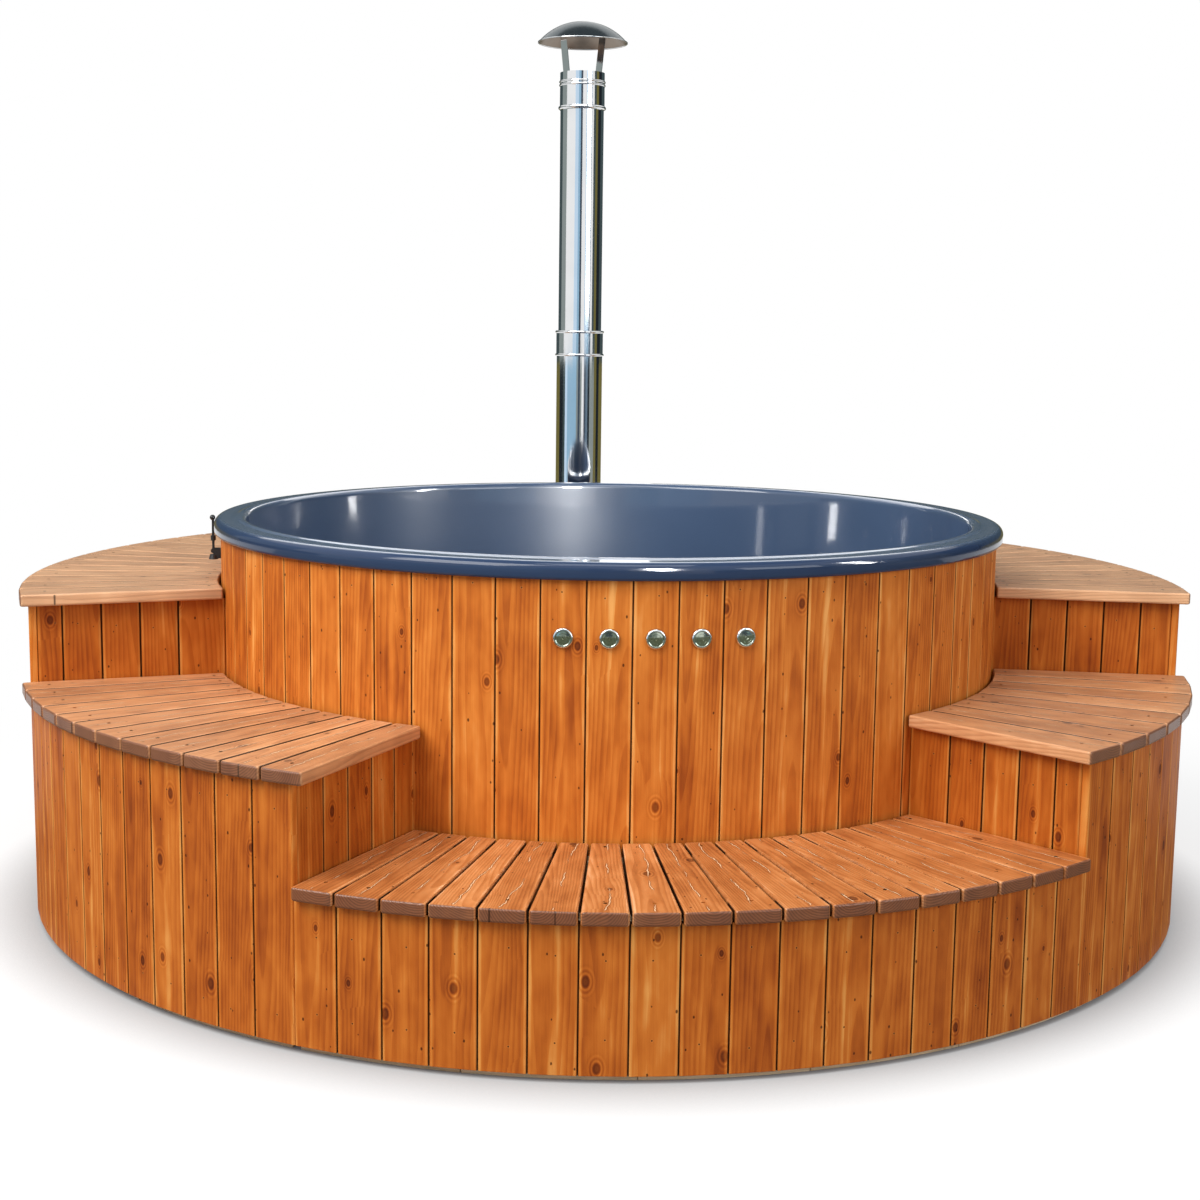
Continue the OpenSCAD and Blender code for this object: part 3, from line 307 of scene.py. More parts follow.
def nailed(f, spot, colour, tones):
    """The colour with a dark nail head and its pale rim, and where the head is."""
    gap = ((spot.across - (spot.own_2 - 0.5) * NAIL_WANDER) ** 2
           + (spot.from_end - NAIL_IN - spot.own * NAIL_WANDER) ** 2) ** 0.5
    nail = f.step(gap, NAIL_R, 0.0014)
    rim = f.step(gap, 0.0034, 0.0022) - nail
    return f.mix(nail * 0.9, f.mix(rim * 0.35, colour, tones[-1][1]), darker(tones[0][1], 0.3)), nail


def cracked(f, spot, colour, tones):
    """The colour with a torn, pale crack that wanders along the middle, and where it is."""
    own, y = spot.own, spot.y
    drift = (f.noise(f.join(own * 50, y * 5, 0.0)) - 0.5) * 0.05
    ragged = (f.noise(f.join(own * 70, y * 60, spot.across * 60)) - 0.5) * 0.008
    here = f.step(f.noise(f.join(own * 90, y * 9, 3.0)), 0.42, 0.52) * f.step(spot.from_end, 0.006, 0.014)
    wide = here * (f.noise(f.join(own * 90, y * 45, 7.0)) * 0.0026 - 0.0004)
    off = abs(spot.across - drift - ragged) - wide
    torn = f.step(off, 0.0004, -0.0004) * here
    brink = f.step(off, 0.0026, 0.0008) * here - torn
    colour = f.mix(brink * 0.75, colour, darker(tones[0][1], 0.9))
    return f.mix(torn * 0.85, colour, tuple(min(0.9, c * 1.05 + 0.10) for c in tones[-1][1])), torn


# %% [markdown]
# ## Timber
# One function puts it together. Everything that makes the wood darker or paler goes
# into one sum, and a ramp of five tones turns the sum into stain, so that a knot, a
# ring and a cloud all stay within the same family of browns.

# %% Timber
BOARD_SPREAD, STREAKS = 0.16, 0.34


def timber(name, tones, ring=0.0065, flame=0.15, clouds=0.42, knots=0.5, heart=0.0, cracks=False,
           nails=False, end_grain=None, sheen=0.5, gloss=0.15, dirt_and_shade_depth=(0.0003, 0.0015), arris=0.26):
    """Solid wood. tones runs from its darkest to its palest; ring is the width of a year; flame is
    how strongly the rings show; knots is the chance of one in each cell; heart is a pale streak
    along the middle; the joint depths say from what depth below the face a joint darkens with dirt and
    painted shade, and at what depth it is dark; arris is a painted highlight, a paler tone along the edges."""
    f = Finish(name)
    spot = Spot(f)
    x, y, deep, own = spot.x, spot.y, spot.deep, spot.own
    joint = dirt_and_shade_in_joint(f, spot, dirt_and_shade_depth)
    darkest = tones[0][1]

    reach, from_x, from_y, there = knots_on(f, spot, KNOT_CELL, knots, KNOT_SIZES)
    pin_reach, _, _, pin_there = knots_on(f, spot, PIN_CELL, PIN_CHANCE, PIN_SIZES)
    pull = (-(from_x * from_x + from_y * from_y * 0.1) / 0.0005).math("EXPONENT") * there
    core = f.step(reach, 1.1, 0.7) * there
    eye = (reach * 8.5).math("SINE") * f.step(reach, 2.4, 1.0) * there
    halo = f.step(reach, 3.4, 1.0) * there
    pin = f.step(pin_reach, 1.2, 0.7) * pin_there

    late = late_wood(f, spot, ring, from_x * pull * 0.6)
    fibre = f.noise(f.join(x * 380, y * 8, deep * 380))
    streak = f.noise(f.join(x * 62, y * 1.8, deep * 62))
    cloud = f.noise(f.join(x * 8, y * 3.5, own * 20), detail=3.0)
    blotch = f.noise(f.join(x * 30, y * 11, own * 30))

    tone = (spot.own_3 - 0.5) * BOARD_SPREAD + (cloud - 0.5) * clouds + (blotch - 0.5) * 0.50
    tone = tone + (streak - 0.5) * STREAKS + 0.60 - late * (streak * 0.9 + 0.55) * flame
    tone = tone + (fibre - 0.5) * 0.16 + eye * 0.15 - halo * 0.08 - core * 0.26
    # A paler tone along each long edge: a painted highlight for the light on the rounded arris.
    tone = tone + f.step(spot.from_side, 0.0095, 0.0045) * arris
    if heart:
        wobble = (f.noise(f.join(own * 30, y * 3.0, 0.0)) - 0.5) * 0.055
        vein = f.step(abs(spot.across - wobble), 0.016, 0.002) * f.step(own, 0.3, 0.5)
        tone = tone + vein * (streak * 1.6 - 0.45) * heart
    colour = f.node("ShaderNodeValToRGB", {"stops": tones}, tone).out()
    if end_grain:
        ends = f.step(spot.from_end, 0.0045, 0.0015) * (blotch * 0.5 + 0.6)
        colour = f.mix(ends, colour, f.mix(late, end_grain, darker(end_grain, 0.55)))
        joint = joint * f.step(spot.from_end, 0.003, 0.012)
    colour = f.mix(core * f.step(reach, 0.9, 0.2) * 0.65, colour, darker(darkest, 0.7))
    colour = f.mix(pin * 0.85, colour, darker(darkest, 0.35))
    height = fibre * 0.35 + late * 0.45 - core * 0.4 - pin
    if nails:
        colour, nail = nailed(f, spot, colour, tones)
        height = height - nail * 2
    if cracks:
        colour, torn = cracked(f, spot, colour, tones)
        height = height - torn * 1.2
    # The joints darken almost to black: dirt, and painted shade for the shade deep in each joint.
    colour = f.mix(joint * 0.95, colour, darker(darkest, 0.20))
    rough = sheen + (fibre - 0.5) * 0.2 + late * 0.06 + core * 0.1
    return f.finish(Base_Color=colour, Roughness=rough, Normal=f.bump(height, 0.45, 0.0009),
                    Specular_IOR_Level=gloss)


# %% The stains
WALL_STAIN = [(0.0, (0.150, 0.029, 0.005)), (0.30, (0.360, 0.080, 0.010)), (0.52, (0.545, 0.146, 0.018)),
              (0.74, (0.690, 0.220, 0.034)), (1.0, (0.860, 0.400, 0.110))]
TREAD_STAIN = [(0.0, (0.120, 0.032, 0.008)), (0.30, (0.310, 0.092, 0.023)), (0.52, (0.475, 0.162, 0.045)),
               (0.74, (0.630, 0.255, 0.088)), (1.0, (0.840, 0.490, 0.260))]
SAWN = [(0.0, (0.30, 0.17, 0.08)), (0.30, (0.50, 0.33, 0.17)), (0.52, (0.66, 0.47, 0.27)),
        (0.74, (0.76, 0.58, 0.37)), (1.0, (0.88, 0.72, 0.50))]
REDDER, SHEEN_TONE = (1.03, 0.93, 0.78), (0.92, 0.62, 0.38)
OPEN_JOINT, NARROW_JOINT = (0.0012, 0.0030), (0.0002, 0.0011)


def darker_and_redder(share):
    """The wall's tones darker and redder. On the risers the extra darkness is painted shade, for the corners
    under the treads.
    """
    return [(place, tuple(c * share * r for c, r in zip(colour, REDDER))) for place, colour in WALL_STAIN]


def paled_by_painted_sheen(share):
    """The treads' tones made paler: a painted sheen, for the white gloss that higher treads show at a grazing
    angle.
    """
    return [(place, tuple(c + (sheen_tone * (0.35 + 0.65 * place) - c) * share for c, sheen_tone in zip(colour, SHEEN_TONE)))
            for place, colour in TREAD_STAIN]


# %% The woods
WALL = {"ring": 0.0080, "flame": 0.14, "clouds": 0.56, "heart": 0.4, "nails": True}
# In TREAD, arris is the strength of the painted highlight along the board edges.
TREAD = {"ring": 0.0050, "flame": 0.17, "clouds": 0.45, "knots": 0.22, "cracks": True, "sheen": 0.32,
         "gloss": 0.45, "end_grain": (0.190, 0.068, 0.034), "arris": 0.14}
wall_wood = timber("stained_wall_board", WALL_STAIN, **WALL)
ring_wood = timber("stained_ring_board", darker_and_redder(0.84), **WALL)
# The risers are darker than the ring boards: painted shade for the corners they stand in.
riser_wood = timber("stained_riser_board_painted_shade", darker_and_redder(0.76), **WALL)
# The middle and high treads are paler by a painted sheen; the low tread keeps its own tones.
tread_woods = [timber(f"tread_board_{name}", paled_by_painted_sheen(share), dirt_and_shade_depth=dirt_and_shade_depth, **TREAD) for name, share, dirt_and_shade_depth in
               (("low", 0.0, OPEN_JOINT), ("middle", 0.27, NARROW_JOINT), ("high", 0.55, NARROW_JOINT))]
sawn_wood = timber("sawn_timber", SAWN, sheen=0.7)
print("timber finishes ready")

# %% [markdown]
# ## Small mesh helpers
# Boards, bath and pipes are all built from plain lists of points. A few helpers
# turn such lists into objects, decide which edges stay sharp, and put each finished
# piece on its body, so that it moves with the CAD parts it stands for.


# %% Small mesh helpers
def new_object(name, data):
    made = bpy.data.objects.new(name, data)
    bpy.context.scene.collection.objects.link(made)
    return made


def mesh_of(name, verts, faces):
    mesh = bpy.data.meshes.new(name)
    mesh.from_pydata([tuple(v) for v in verts], [], faces)
    mesh.update()
    return mesh


def shade(mesh, limit=35.0):
    """Smooth faces, with a sharp edge wherever two of them meet at more than limit degrees."""
    work = bmesh.new()
    work.from_mesh(mesh)
    bmesh.ops.recalc_face_normals(work, faces=work.faces)
    for face in work.faces:
        face.smooth = True
    for edge in work.edges:
        edge.smooth = len(edge.link_faces) == 2 and edge.calc_face_angle(0.0) < math.radians(limit)
    work.to_mesh(mesh)
    work.free()
    return mesh


def gathered(name, meshes, limit=35):
    """Several meshes as one object."""
    work = bmesh.new()
    for mesh in meshes:
        work.from_mesh(mesh)
        bpy.data.meshes.remove(mesh)
    mesh = bpy.data.meshes.new(name)
    work.to_mesh(mesh)
    work.free()
    return new_object(name, shade(mesh, limit))


def dress(piece, body, material, slot, *replaced):
    """Puts a finished piece on its body, with its finish, in place of the CAD nodes it stands for."""
    if material:
        piece.data.materials.clear()
        piece.data.materials.append(material)
    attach(piece, body)
    if replaced:
        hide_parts(*replaced)
    return piece


def points_of(mesh):
    """The points of a mesh as an array, one in each row."""
    points = np.empty(len(mesh.vertices) * 3)
    mesh.vertices.foreach_get("co", points)
    return points.reshape(-1, 3)


def islands(mesh):
    """The separate solids of a mesh, each as its own array of corner points."""
    points = points_of(mesh)
    _, same = np.unique(np.round(points * 1e6).astype(np.int64), axis=0, return_inverse=True)
    same = same.ravel()
    root = list(range(same.max() + 1))

    def top(i):
        while root[i] != i:
            root[i] = root[root[i]]
            i = root[i]
        return i

    for face in mesh.polygons:
        ids = [same[v] for v in face.vertices]
        for other in ids[1:]:
            root[top(other)] = top(ids[0])
    groups = {}
    for index, key in enumerate(same):
        groups.setdefault(top(key), set()).add(tuple(np.round(points[index], 7)))
    return [np.array(sorted(group)) for _, group in sorted(groups.items(), key=lambda g: min(g[1]))]


# %% [markdown]
# ## Boards
# A board fresh from the planer has softened arrises, and those thin lines of light
# are what makes a wall of boards read as wood. A bevel modifier would round them,
# but it stumbles over the small facets of a CAD mesh. Every CAD board is a flat
# outline pushed straight up, so it is rebuilt the same way: its outline gets round
# corners, and shrinks a little towards the top and bottom. An extra point beside
# each arc holds the smooth shading inside the arc. A board with a hole in it is cut
# by itself, because a cut goes wrong where two boards touch.

# %% A soft-edged slab
HOLD = 0.0005
STRAIGHT = 3e-7
LEAST_TURN = math.radians(20)
TRIM_SHARE, HOLD_SHARE = 0.38, 0.1
CORNER_STEPS, ARRIS_STEPS = 4, 3


def plan_of(points):
    """The outline of a board from above, anticlockwise, without points along a straight side."""
    flat = sorted({(round(x, 6), round(y, 6)) for x, y, _ in points})

    def half(line_points):
        line = []
        for point in line_points:
            while len(line) > 1:
                (ax, ay), (bx, by) = line[-2:]
                if (bx - ax) * (point[1] - ay) - (by - ay) * (point[0] - ax) > STRAIGHT:
                    break
                line.pop()
            line.append(point)
        return line[:-1]

    return [Vector(p) for p in half(flat) + half(flat[::-1])]


def softened(outline, radius_at):
    """Rounds each corner of an outline that turns far enough. On a short side the arc and the
    held points take no more than a share of its length."""
    result = []
    for i, here in enumerate(outline):
        back, ahead = outline[i - 1] - here, outline[(i + 1) % len(outline)] - here
        turn = math.pi - back.angle(ahead)
        if turn < LEAST_TURN:
            result.append(here)
            continue
        shortest = min(back.length, ahead.length)
        trim = min(radius_at(here) * math.tan(turn / 2), TRIM_SHARE * shortest)
        radius, hold = trim / math.tan(turn / 2), min(HOLD, HOLD_SHARE * shortest)
        back.normalize()
        ahead.normalize()
        centre = here + (back + ahead).normalized() * radius / math.cos(turn / 2)
        spoke = here + back * trim - centre
        result.append(here + back * (trim + hold))
        for k in range(CORNER_STEPS + 1):
            result.append(centre + Matrix.Rotation(turn * k / CORNER_STEPS, 2) @ spoke)
        result.append(here + ahead * (trim + hold))
    return np.array([tuple(p) for p in result])


def inset(outline, distance):
    """The outline moved inwards by the same distance along every side."""
    edge = np.roll(outline, -1, 0) - outline
    edge /= np.linalg.norm(edge, axis=1)[:, None]
    inward = np.stack([-edge[:, 1], edge[:, 0]], 1)
    middle = inward + np.roll(inward, 1, 0)
    return outline + middle * (distance / (middle * inward).sum(1))[:, None]


def slab(outline, low, high, arris_low, arris_high):
    """A flat piece with the given outline, its lower and upper edges rounded."""
    turns = [math.pi / 2 * k / ARRIS_STEPS for k in range(ARRIS_STEPS + 1)]
    levels = [(arris_low + HOLD, low)]
    levels += [(arris_low * (1 - math.cos(t)), low + arris_low * (1 - math.sin(t))) for t in reversed(turns)]
    levels += [(0, low + arris_low + HOLD), (0, high - arris_high - HOLD)]
    levels += [(arris_high * (1 - math.cos(t)), high - arris_high * (1 - math.sin(t))) for t in turns]
    levels += [(arris_high + HOLD, high)]
    count, verts = len(outline), []
    for distance, z in levels:
        verts += [(x, y, z) for x, y in inset(outline, distance)]
    faces = [list(range(count))[::-1], [len(verts) - count + i for i in range(count)]]
    for level in range(len(levels) - 1):
        first = level * count
        faces += [[first + i, first + (i + 1) % count, first + count + (i + 1) % count, first + count + i]
                  for i in range(count)]
    return verts, faces


# %% Which way each kind of board lies
UP = Vector((0, 0, 1))
TO_THE_RIGHT, TO_THE_BACK = Vector((1, 0, 0)), Vector((0, 1, 0))


def axes_of(kind, centre):
    """Across, along and outward directions of a board. Staves, risers and posts stand upright,
    a tread board points at the tub's axis, and a rail runs across the tread boards."""
    out = Vector((centre[0], centre[1], 0)).normalized()
    sideways = Vector((-out.y, out.x, 0))
    to_the_front = sideways * (1 if sideways.y < 0 else -1)
    return {"stave": (sideways, UP, out), "riser": (out, UP, to_the_front), "tread": (sideways, out, UP),
            "rail": (out, sideways, UP), "post": (TO_THE_RIGHT, UP, TO_THE_BACK),
            "joist": (TO_THE_RIGHT, TO_THE_BACK, UP)}[kind]


# %% Holes
HOLE_REACH = 0.1


def cutter(place, direction, radius, length):
    """A long round bar that cuts a hole."""
    turn = Vector(direction).to_track_quat("Z", "Y").to_matrix().to_4x4()
    work = bmesh.new()
    bmesh.ops.create_cone(work, cap_ends=True, segments=48, radius1=radius, radius2=radius, depth=length,
                          matrix=Matrix.Translation(place) @ turn)
    mesh = bpy.data.meshes.new("cutter")
    work.to_mesh(mesh)
    work.free()
    return new_object("cutter", mesh)


def cut(piece, holes):
    """Cuts round holes, each (place, direction, radius, length), and keeps the result."""
    tools = [cutter(*hole) for hole in holes]
    for tool in tools:
        change = piece.modifiers.new("hole", "BOOLEAN")
        change.object, change.operation, change.solver = tool, "DIFFERENCE", "EXACT"
    bpy.context.view_layer.update()
    result = bpy.data.meshes.new_from_object(piece.evaluated_get(bpy.context.evaluated_depsgraph_get()))
    piece.modifiers.clear()
    piece.data = result
    for tool in tools:
        bpy.data.objects.remove(tool)


def cut_board(mesh, holes):
    """One board with the holes that are within reach of it."""
    board = new_object(mesh.name, mesh)
    cut(board, holes)
    result = board.data
    bpy.data.objects.remove(board)
    return result


# %% The marks on the boards
BOARD_ENDS, SAME_LAYER, JOINT_REACH, TIE_BREAK = 0.02, 0.05, 0.03, 1e-4


def mark_boards(mesh, solids, kind, seed):
    """Writes each board's grain, size, board and beside marks on its points. A point belongs to
    the board whose box, in that board's own directions, is nearest to it."""
    dice = random.Random(seed)
    points = points_of(mesh)
    count = len(points)
    marks = {"grain": np.zeros((count, 3)), "size": np.zeros((count, 3)), "board": np.zeros(count),
             "beside": np.zeros((count, 3))}
    best, centres = np.full(count, np.inf), np.array([(solid.max(0) + solid.min(0)) / 2 for solid in solids])
    for solid, centre in zip(solids, centres):
        directions = np.array(axes_of(kind, centre), float)
        local, corners = (points - centre) @ directions.T, (solid - centre) @ directions.T
        low, high = corners.min(0), corners.max(0)
        outside = np.maximum(np.maximum(low - local, local - high), 0).sum(1)
        distance = outside + np.abs(local).sum(1) * TIE_BREAK
        mine = distance < best
        best[mine] = distance[mine]
        near = np.ptp(corners[corners[:, 1] < low[1] + BOARD_ENDS, 0]) / 2
        far = np.ptp(corners[corners[:, 1] > high[1] - BOARD_ENDS, 0]) / 2
        length = high[1] - low[1]
        marks["grain"][mine] = (local - [(low[0] + high[0]) / 2, (low[1] + high[1]) / 2, high[2]])[mine]
        marks["size"][mine] = [(near + far) / 2, (far - near) / length, length / 2]
        marks["board"][mine] = dice.random()
        others = (centres - centre) @ directions.T
        level = (np.abs(others[:, 1]) < length / 2) & (np.abs(others[:, 2]) < SAME_LAYER)
        for side, way in enumerate((-1, 1)):
            away = others[:, 0] * way
            beside = level & (away > near * 0.9) & (away < near + far + JOINT_REACH)
            marks["beside"][mine, side] = beside.any()
    for name, values in marks.items():
        form, key = ("FLOAT", "value") if name == "board" else ("FLOAT_VECTOR", "vector")
        layer = mesh.attributes.new(name, form, "POINT")
        layer.data.foreach_set(key, values.astype(np.float32).ravel())


# %% Boards from a CAD node
BACK_SPARE = 0.0002


def boards(node, kind, edges, material, slot, seed, holes=()):
    """Rebuilds every board of a CAD node. edges holds the radius of the outline's corners and the
    rounding of the lower and upper edge. The back corners of an upright board are smaller: just
    round enough for the outline to shrink there without folding over."""
    corner, arris = edges
    meshes, solids = [], islands(nodes[node].data)
    for points in solids:
        centre = (points.max(0) + points.min(0)) / 2
        out = axes_of(kind, centre)[2]
        heights = points @ np.array(out)
        middle = (heights.max() + heights.min()) / 2

        def radius_at(spot):
            on_face = abs(out.z) > 0.5 or spot.x * out.x + spot.y * out.y > middle
            return corner if on_face else max(arris) + HOLD + BACK_SPARE

        outline = softened(plan_of(points), radius_at)
        mesh = mesh_of(node, *slab(outline, points[:, 2].min(), points[:, 2].max(), *arris))
        near = [hole for hole in holes if (hole[0].xy - Vector(centre).xy).length < HOLE_REACH]
        meshes.append(cut_board(mesh, near) if near else mesh)
    piece = gathered(node + "_boards", meshes, 50)
    mark_boards(piece.data, solids, kind, seed)
    print(node, len(solids), "boards")
    return dress(piece, "tub", material, slot, node)


# %% [markdown]
# ## Walls, steps and frame
# Sixty-four staves stand round the bath. The steps have curved walls, straight
# risers between their levels, and tread boards that lie like the slices of a cake.
# The frame below is rough sawn timber. The numbers here repeat the CAD's, because
# the holes for buttons and pipes have to stay where the CAD has them.


# %% Places on the tub
def around(azimuth, radius, height):
    """A place at a compass angle from the front, positive to the right."""
    turn = math.radians(azimuth)
    return Vector((radius * math.sin(turn), -radius * math.cos(turn), height))


def hole_round(azimuth, distance, height, radius, length):
    """A level hole that points at the tub's axis."""
    return around(azimuth, distance, height), around(azimuth, 1, 0), radius, length


def hole_back(x, y, z, radius, length):
    """A level hole that runs from front to back."""
    return Vector((x, y, z)), TO_THE_BACK, radius, length


STAVE_ANGLE, STAVE_R, WALL_R = 360 / 64, 0.97, 0.985
STOVE_X, BLOWER_AT = 0.024, 57.25
BUTTON_Z, BUTTON_HOLE_R = 0.778, 0.0193
AIR_Z, AIR_HOLE_R = 0.215, 0.030
PIPE_HEIGHTS, PIPE_HOLE_R = (0.260, 0.620), 0.031
DRAIN, DRAIN_HOLE_R = (-0.375, 0.120, 0.038), 0.028

stave_holes = [hole_round(i * STAVE_ANGLE, STAVE_R, BUTTON_Z, BUTTON_HOLE_R, 0.08) for i in (-2, -1, 0, 1, 2)]
stave_holes += [hole_back(STOVE_X, STAVE_R, z, PIPE_HOLE_R, 0.1) for z in PIPE_HEIGHTS]
stave_holes += [hole_back(DRAIN[0], 0.9, DRAIN[2], DRAIN_HOLE_R, 0.2),
                hole_round(BLOWER_AT, STAVE_R, AIR_Z, AIR_HOLE_R, 0.1)]

# %% All the boards
WALL_EDGES = (0.0065, (0.001, 0.001))
TREAD_EDGES = (0.0065, (0.005, 0.0042))
ROUGH_EDGES = (0.0025, (0.0015, 0.0015))

boards("tub_staves", "stave", WALL_EDGES, wall_wood, "stained_timber", 11, stave_holes)
for seed, node in enumerate(("low_wall", "mid_walls", "high_walls"), 20):
    boards(node, "stave", WALL_EDGES, ring_wood, "stained_timber", seed)
for seed, node in enumerate(("mid_risers", "high_risers", "end_panels"), 30):
    boards(node, "riser", WALL_EDGES, riser_wood, "stained_timber", seed)
for seed, node in enumerate(("low_tread", "mid_treads", "high_treads")):
    boards(node, "tread", TREAD_EDGES, tread_woods[seed], "tread_timber", 40 + seed)
frame_boards = (("terrace_rails", "rail"), ("terrace_posts", "post"), ("base_joists", "joist"))
for seed, (node, kind) in enumerate(frame_boards, 51):
    boards(node, kind, ROUGH_EDGES, sawn_wood, "sawn_timber", seed)

# %% [markdown]
# ## Turned pieces
# The bath, the flue, the beads and the buttons are all round. The Screw modifier
# could sweep them, but a few lines of our own give full control of the ends. So a
# lathe does them all: a closed outline of radius and height goes round an axis.
# Glossy surfaces show every facet, so these get many more segments than the CAD.


# %% A lathe
def arc_points(centre, radius, start, end, count):
    """Points on an arc between two angles in degrees, both ends included."""
    angles = [math.radians(start + (end - start) * i / count) for i in range(count + 1)]
    return [(centre[0] + radius * math.cos(a), centre[1] + radius * math.sin(a)) for a in angles]


def turned(name, outline, place, direction=UP, segments=96):
    """Sweeps a closed outline of (radius, height) round an axis. Points at radius 0 become one."""
    turn = Vector(direction).to_track_quat("Z", "Y").to_matrix()
    angles = [2 * math.pi * i / segments for i in range(segments)]
    verts, rings = [], []
    for radius, height in outline:
        first = len(verts)
        if radius < 1e-7:
            rings.append([first] * segments)
            verts.append(Vector(place) + turn @ Vector((0, 0, height)))
            continue
        rings.append(list(range(first, first + segments)))
        verts += [Vector(place) + turn @ Vector((radius * math.cos(a), radius * math.sin(a), height))
                  for a in angles]
    faces = []
    for first, second in zip(rings, rings[1:] + rings[:1]):
        for i in range(segments):
            face = [first[i], first[(i + 1) % segments], second[(i + 1) % segments], second[i]]
            face = [v for n, v in enumerate(face) if v not in face[:n]]
            if len(face) > 2:
                faces.append(face)
    return mesh_of(name, verts, faces)


# %% [markdown]
# ## The bath
# The bath is one moulded shell with a coloured gel coat: a pigmented resin under a
# clear, mirror-like surface that waves very slightly, because it is laid by hand.
# One glossy layer would either mirror too sharply or look dull. So a satin base
# spreads the soft lights into bands down the wall, and a clear coat over it draws
# the sharp highlights along the rim. The rim's outer side is polished, and its base colour there is darker:
# painted shade.
# A low bead runs round the mouth.

# %% Gel coat
POLISHED_SHADED_FROM, POLISHED_SHADED_FULLY = 0.984, 0.994


def gel_coat():
    f = Finish("blue_grey_gel_coat")
    place = f.place()
    drift = f.noise(place, 2.2)
    fleck = f.noise(place, 240.0)
    scuff = f.noise(place, 60.0, 3.0)
    x, y, _ = f.split(place)
    outer = f.step((x * x + y * y) ** 0.5, POLISHED_SHADED_FROM, POLISHED_SHADED_FULLY)
    colour = f.mix(f.step(drift, 0.3, 0.7), (0.046, 0.078, 0.145), (0.055, 0.092, 0.168))
    colour = f.mix((fleck - 0.5) * 0.2, colour, (0.12, 0.17, 0.26))
    # The rim's outer side gets a darker base colour: painted shade, beside its real lower roughness.
    colour = f.mix(outer, colour, (0.026, 0.046, 0.098))
    rough = 0.30 - outer * 0.2 + (scuff - 0.5) * 0.08
    wave = f.bump(f.noise(place, 5.0, 1.0), 0.25, 0.004)
    return f.finish(Base_Color=colour, Roughness=rough, Normal=wave, Coat_Weight=1 - outer * 0.75,
                    Coat_Roughness=0.05, Specular_IOR_Level=0.16)


gel = gel_coat()

# %% The bath's shell
RIM_R, RIM_TOP, RIM_LOW, RIM_UNDER = 1.0, 0.942, 0.900, 0.0075
BATH_Z, LINER_T, MOUTH_R = 0.120, 0.008, 0.920
RIM_ROUND, MOUTH_ROUND, FILLET, LEAN = 0.018, 0.016, 0.060, 0.050
LEAN_Z, MOUTH_Z = BATH_Z + FILLET, RIM_TOP - MOUTH_ROUND
BEAD_H, BEAD_IN, BEAD_OUT, BEAD_STEPS = 0.003, 0.938, 0.950, 7
RIM_FLAT, FLAT_OUT = RIM_TOP - BEAD_H, 0.970
WALL_ROWS = (0.35, 0.55, 0.75)


def liner_inside(z):
    """The bath's inner radius at a height, on its leaning wall."""
    return MOUTH_R - LEAN * (MOUTH_Z - z) / (MOUTH_Z - LEAN_Z)


def bath_outline():
    """From the middle of the floor up the inside, over the rim, and down behind it all."""
    floor_r, mouth = liner_inside(LEAN_Z) - FILLET, (MOUTH_R + MOUTH_ROUND, MOUTH_Z)
    line = [(0, BATH_Z), (floor_r, BATH_Z)]
    line += arc_points((floor_r, LEAN_Z), FILLET, -90, 0, 14)[1:]
    line += [(liner_inside(z), z) for z in WALL_ROWS]
    line += arc_points(mouth, MOUTH_ROUND, 180, 90, 12)
    for k in range(1, BEAD_STEPS + 1):
        share = k / BEAD_STEPS
        fall = BEAD_H * (1 - math.cos(math.pi * share)) / 2
        line.append((BEAD_IN + (BEAD_OUT - BEAD_IN) * share, RIM_TOP - fall))
    line.append((FLAT_OUT, RIM_FLAT))
    line += arc_points((RIM_R - RIM_ROUND, RIM_FLAT - RIM_ROUND), RIM_ROUND, 90, 0, 12)
    line += arc_points((RIM_R - RIM_UNDER, RIM_LOW + RIM_UNDER), RIM_UNDER, 0, -90, 8)
    line += arc_points((RIM_R - RIM_ROUND, RIM_TOP - RIM_ROUND), RIM_ROUND - LINER_T, 0, 90, 6)
    line += arc_points(mouth, MOUTH_ROUND - LINER_T, 90, 180, 6)
    line.append((liner_inside(LEAN_Z) + LINER_T, LEAN_Z))
    line += arc_points((floor_r, LEAN_Z), FILLET + LINER_T, 0, -90, 10)[1:]
    return line + [(0, BATH_Z - LINER_T)]


# %% Its holes and its finish
PIPE_FIT_R, AIR_FIT_R, DRAIN_FIT_R = 0.0303, 0.02935, 0.0253

bath = gathered("moulded_bath", [turned("bath", bath_outline(), (0, 0, 0), segments=240)])
bath_holes = [hole_back(STOVE_X, 0.88, z, PIPE_FIT_R, 0.12) for z in PIPE_HEIGHTS]
bath_holes += [hole_round(BLOWER_AT, 0.875, AIR_Z, AIR_FIT_R, 0.1),
               (Vector((DRAIN[0], DRAIN[1], 0.116)), UP, DRAIN_FIT_R, 0.04)]
cut(bath, bath_holes)
shade(bath.data)
dress(bath, "tub", gel, "gel_coat", "tub_liner")
print("bath", len(bath.data.polygons), "faces")

# %% [markdown]
# ## Metals, rubber and plastic
# Polished sheet is never one even grey: it is rolled, so it carries faint lines
# along the pipe, and hands and rain leave it a little duller in places. One
# roughness for the whole sheet would look like plastic. Two noises vary it here,
# and one of them darkens the metal a little too. Cast iron, rubber and plastic have
# a fine grain instead, as bump.


# %% Metal finishes
def polished(name, colour, roughness, lines=0.1, drift_share=0.4):
    f = Finish(name)
    place = f.place()
    x, y, z = f.split(place)
    rolled = f.noise(f.join(x * 300, y * 300, z * 4))
    drift = f.noise(place, 9.0, 3.0)
    tone = f.mix(f.step(drift, 0.3, 0.75) * drift_share, colour, darker(colour, 0.78))
    rough = roughness + (rolled - 0.5) * lines + (drift - 0.5) * 0.08
    return f.finish(Base_Color=tone, Metallic=1.0, Roughness=rough, Normal=f.bump(rolled, 0.05, 0.0004))


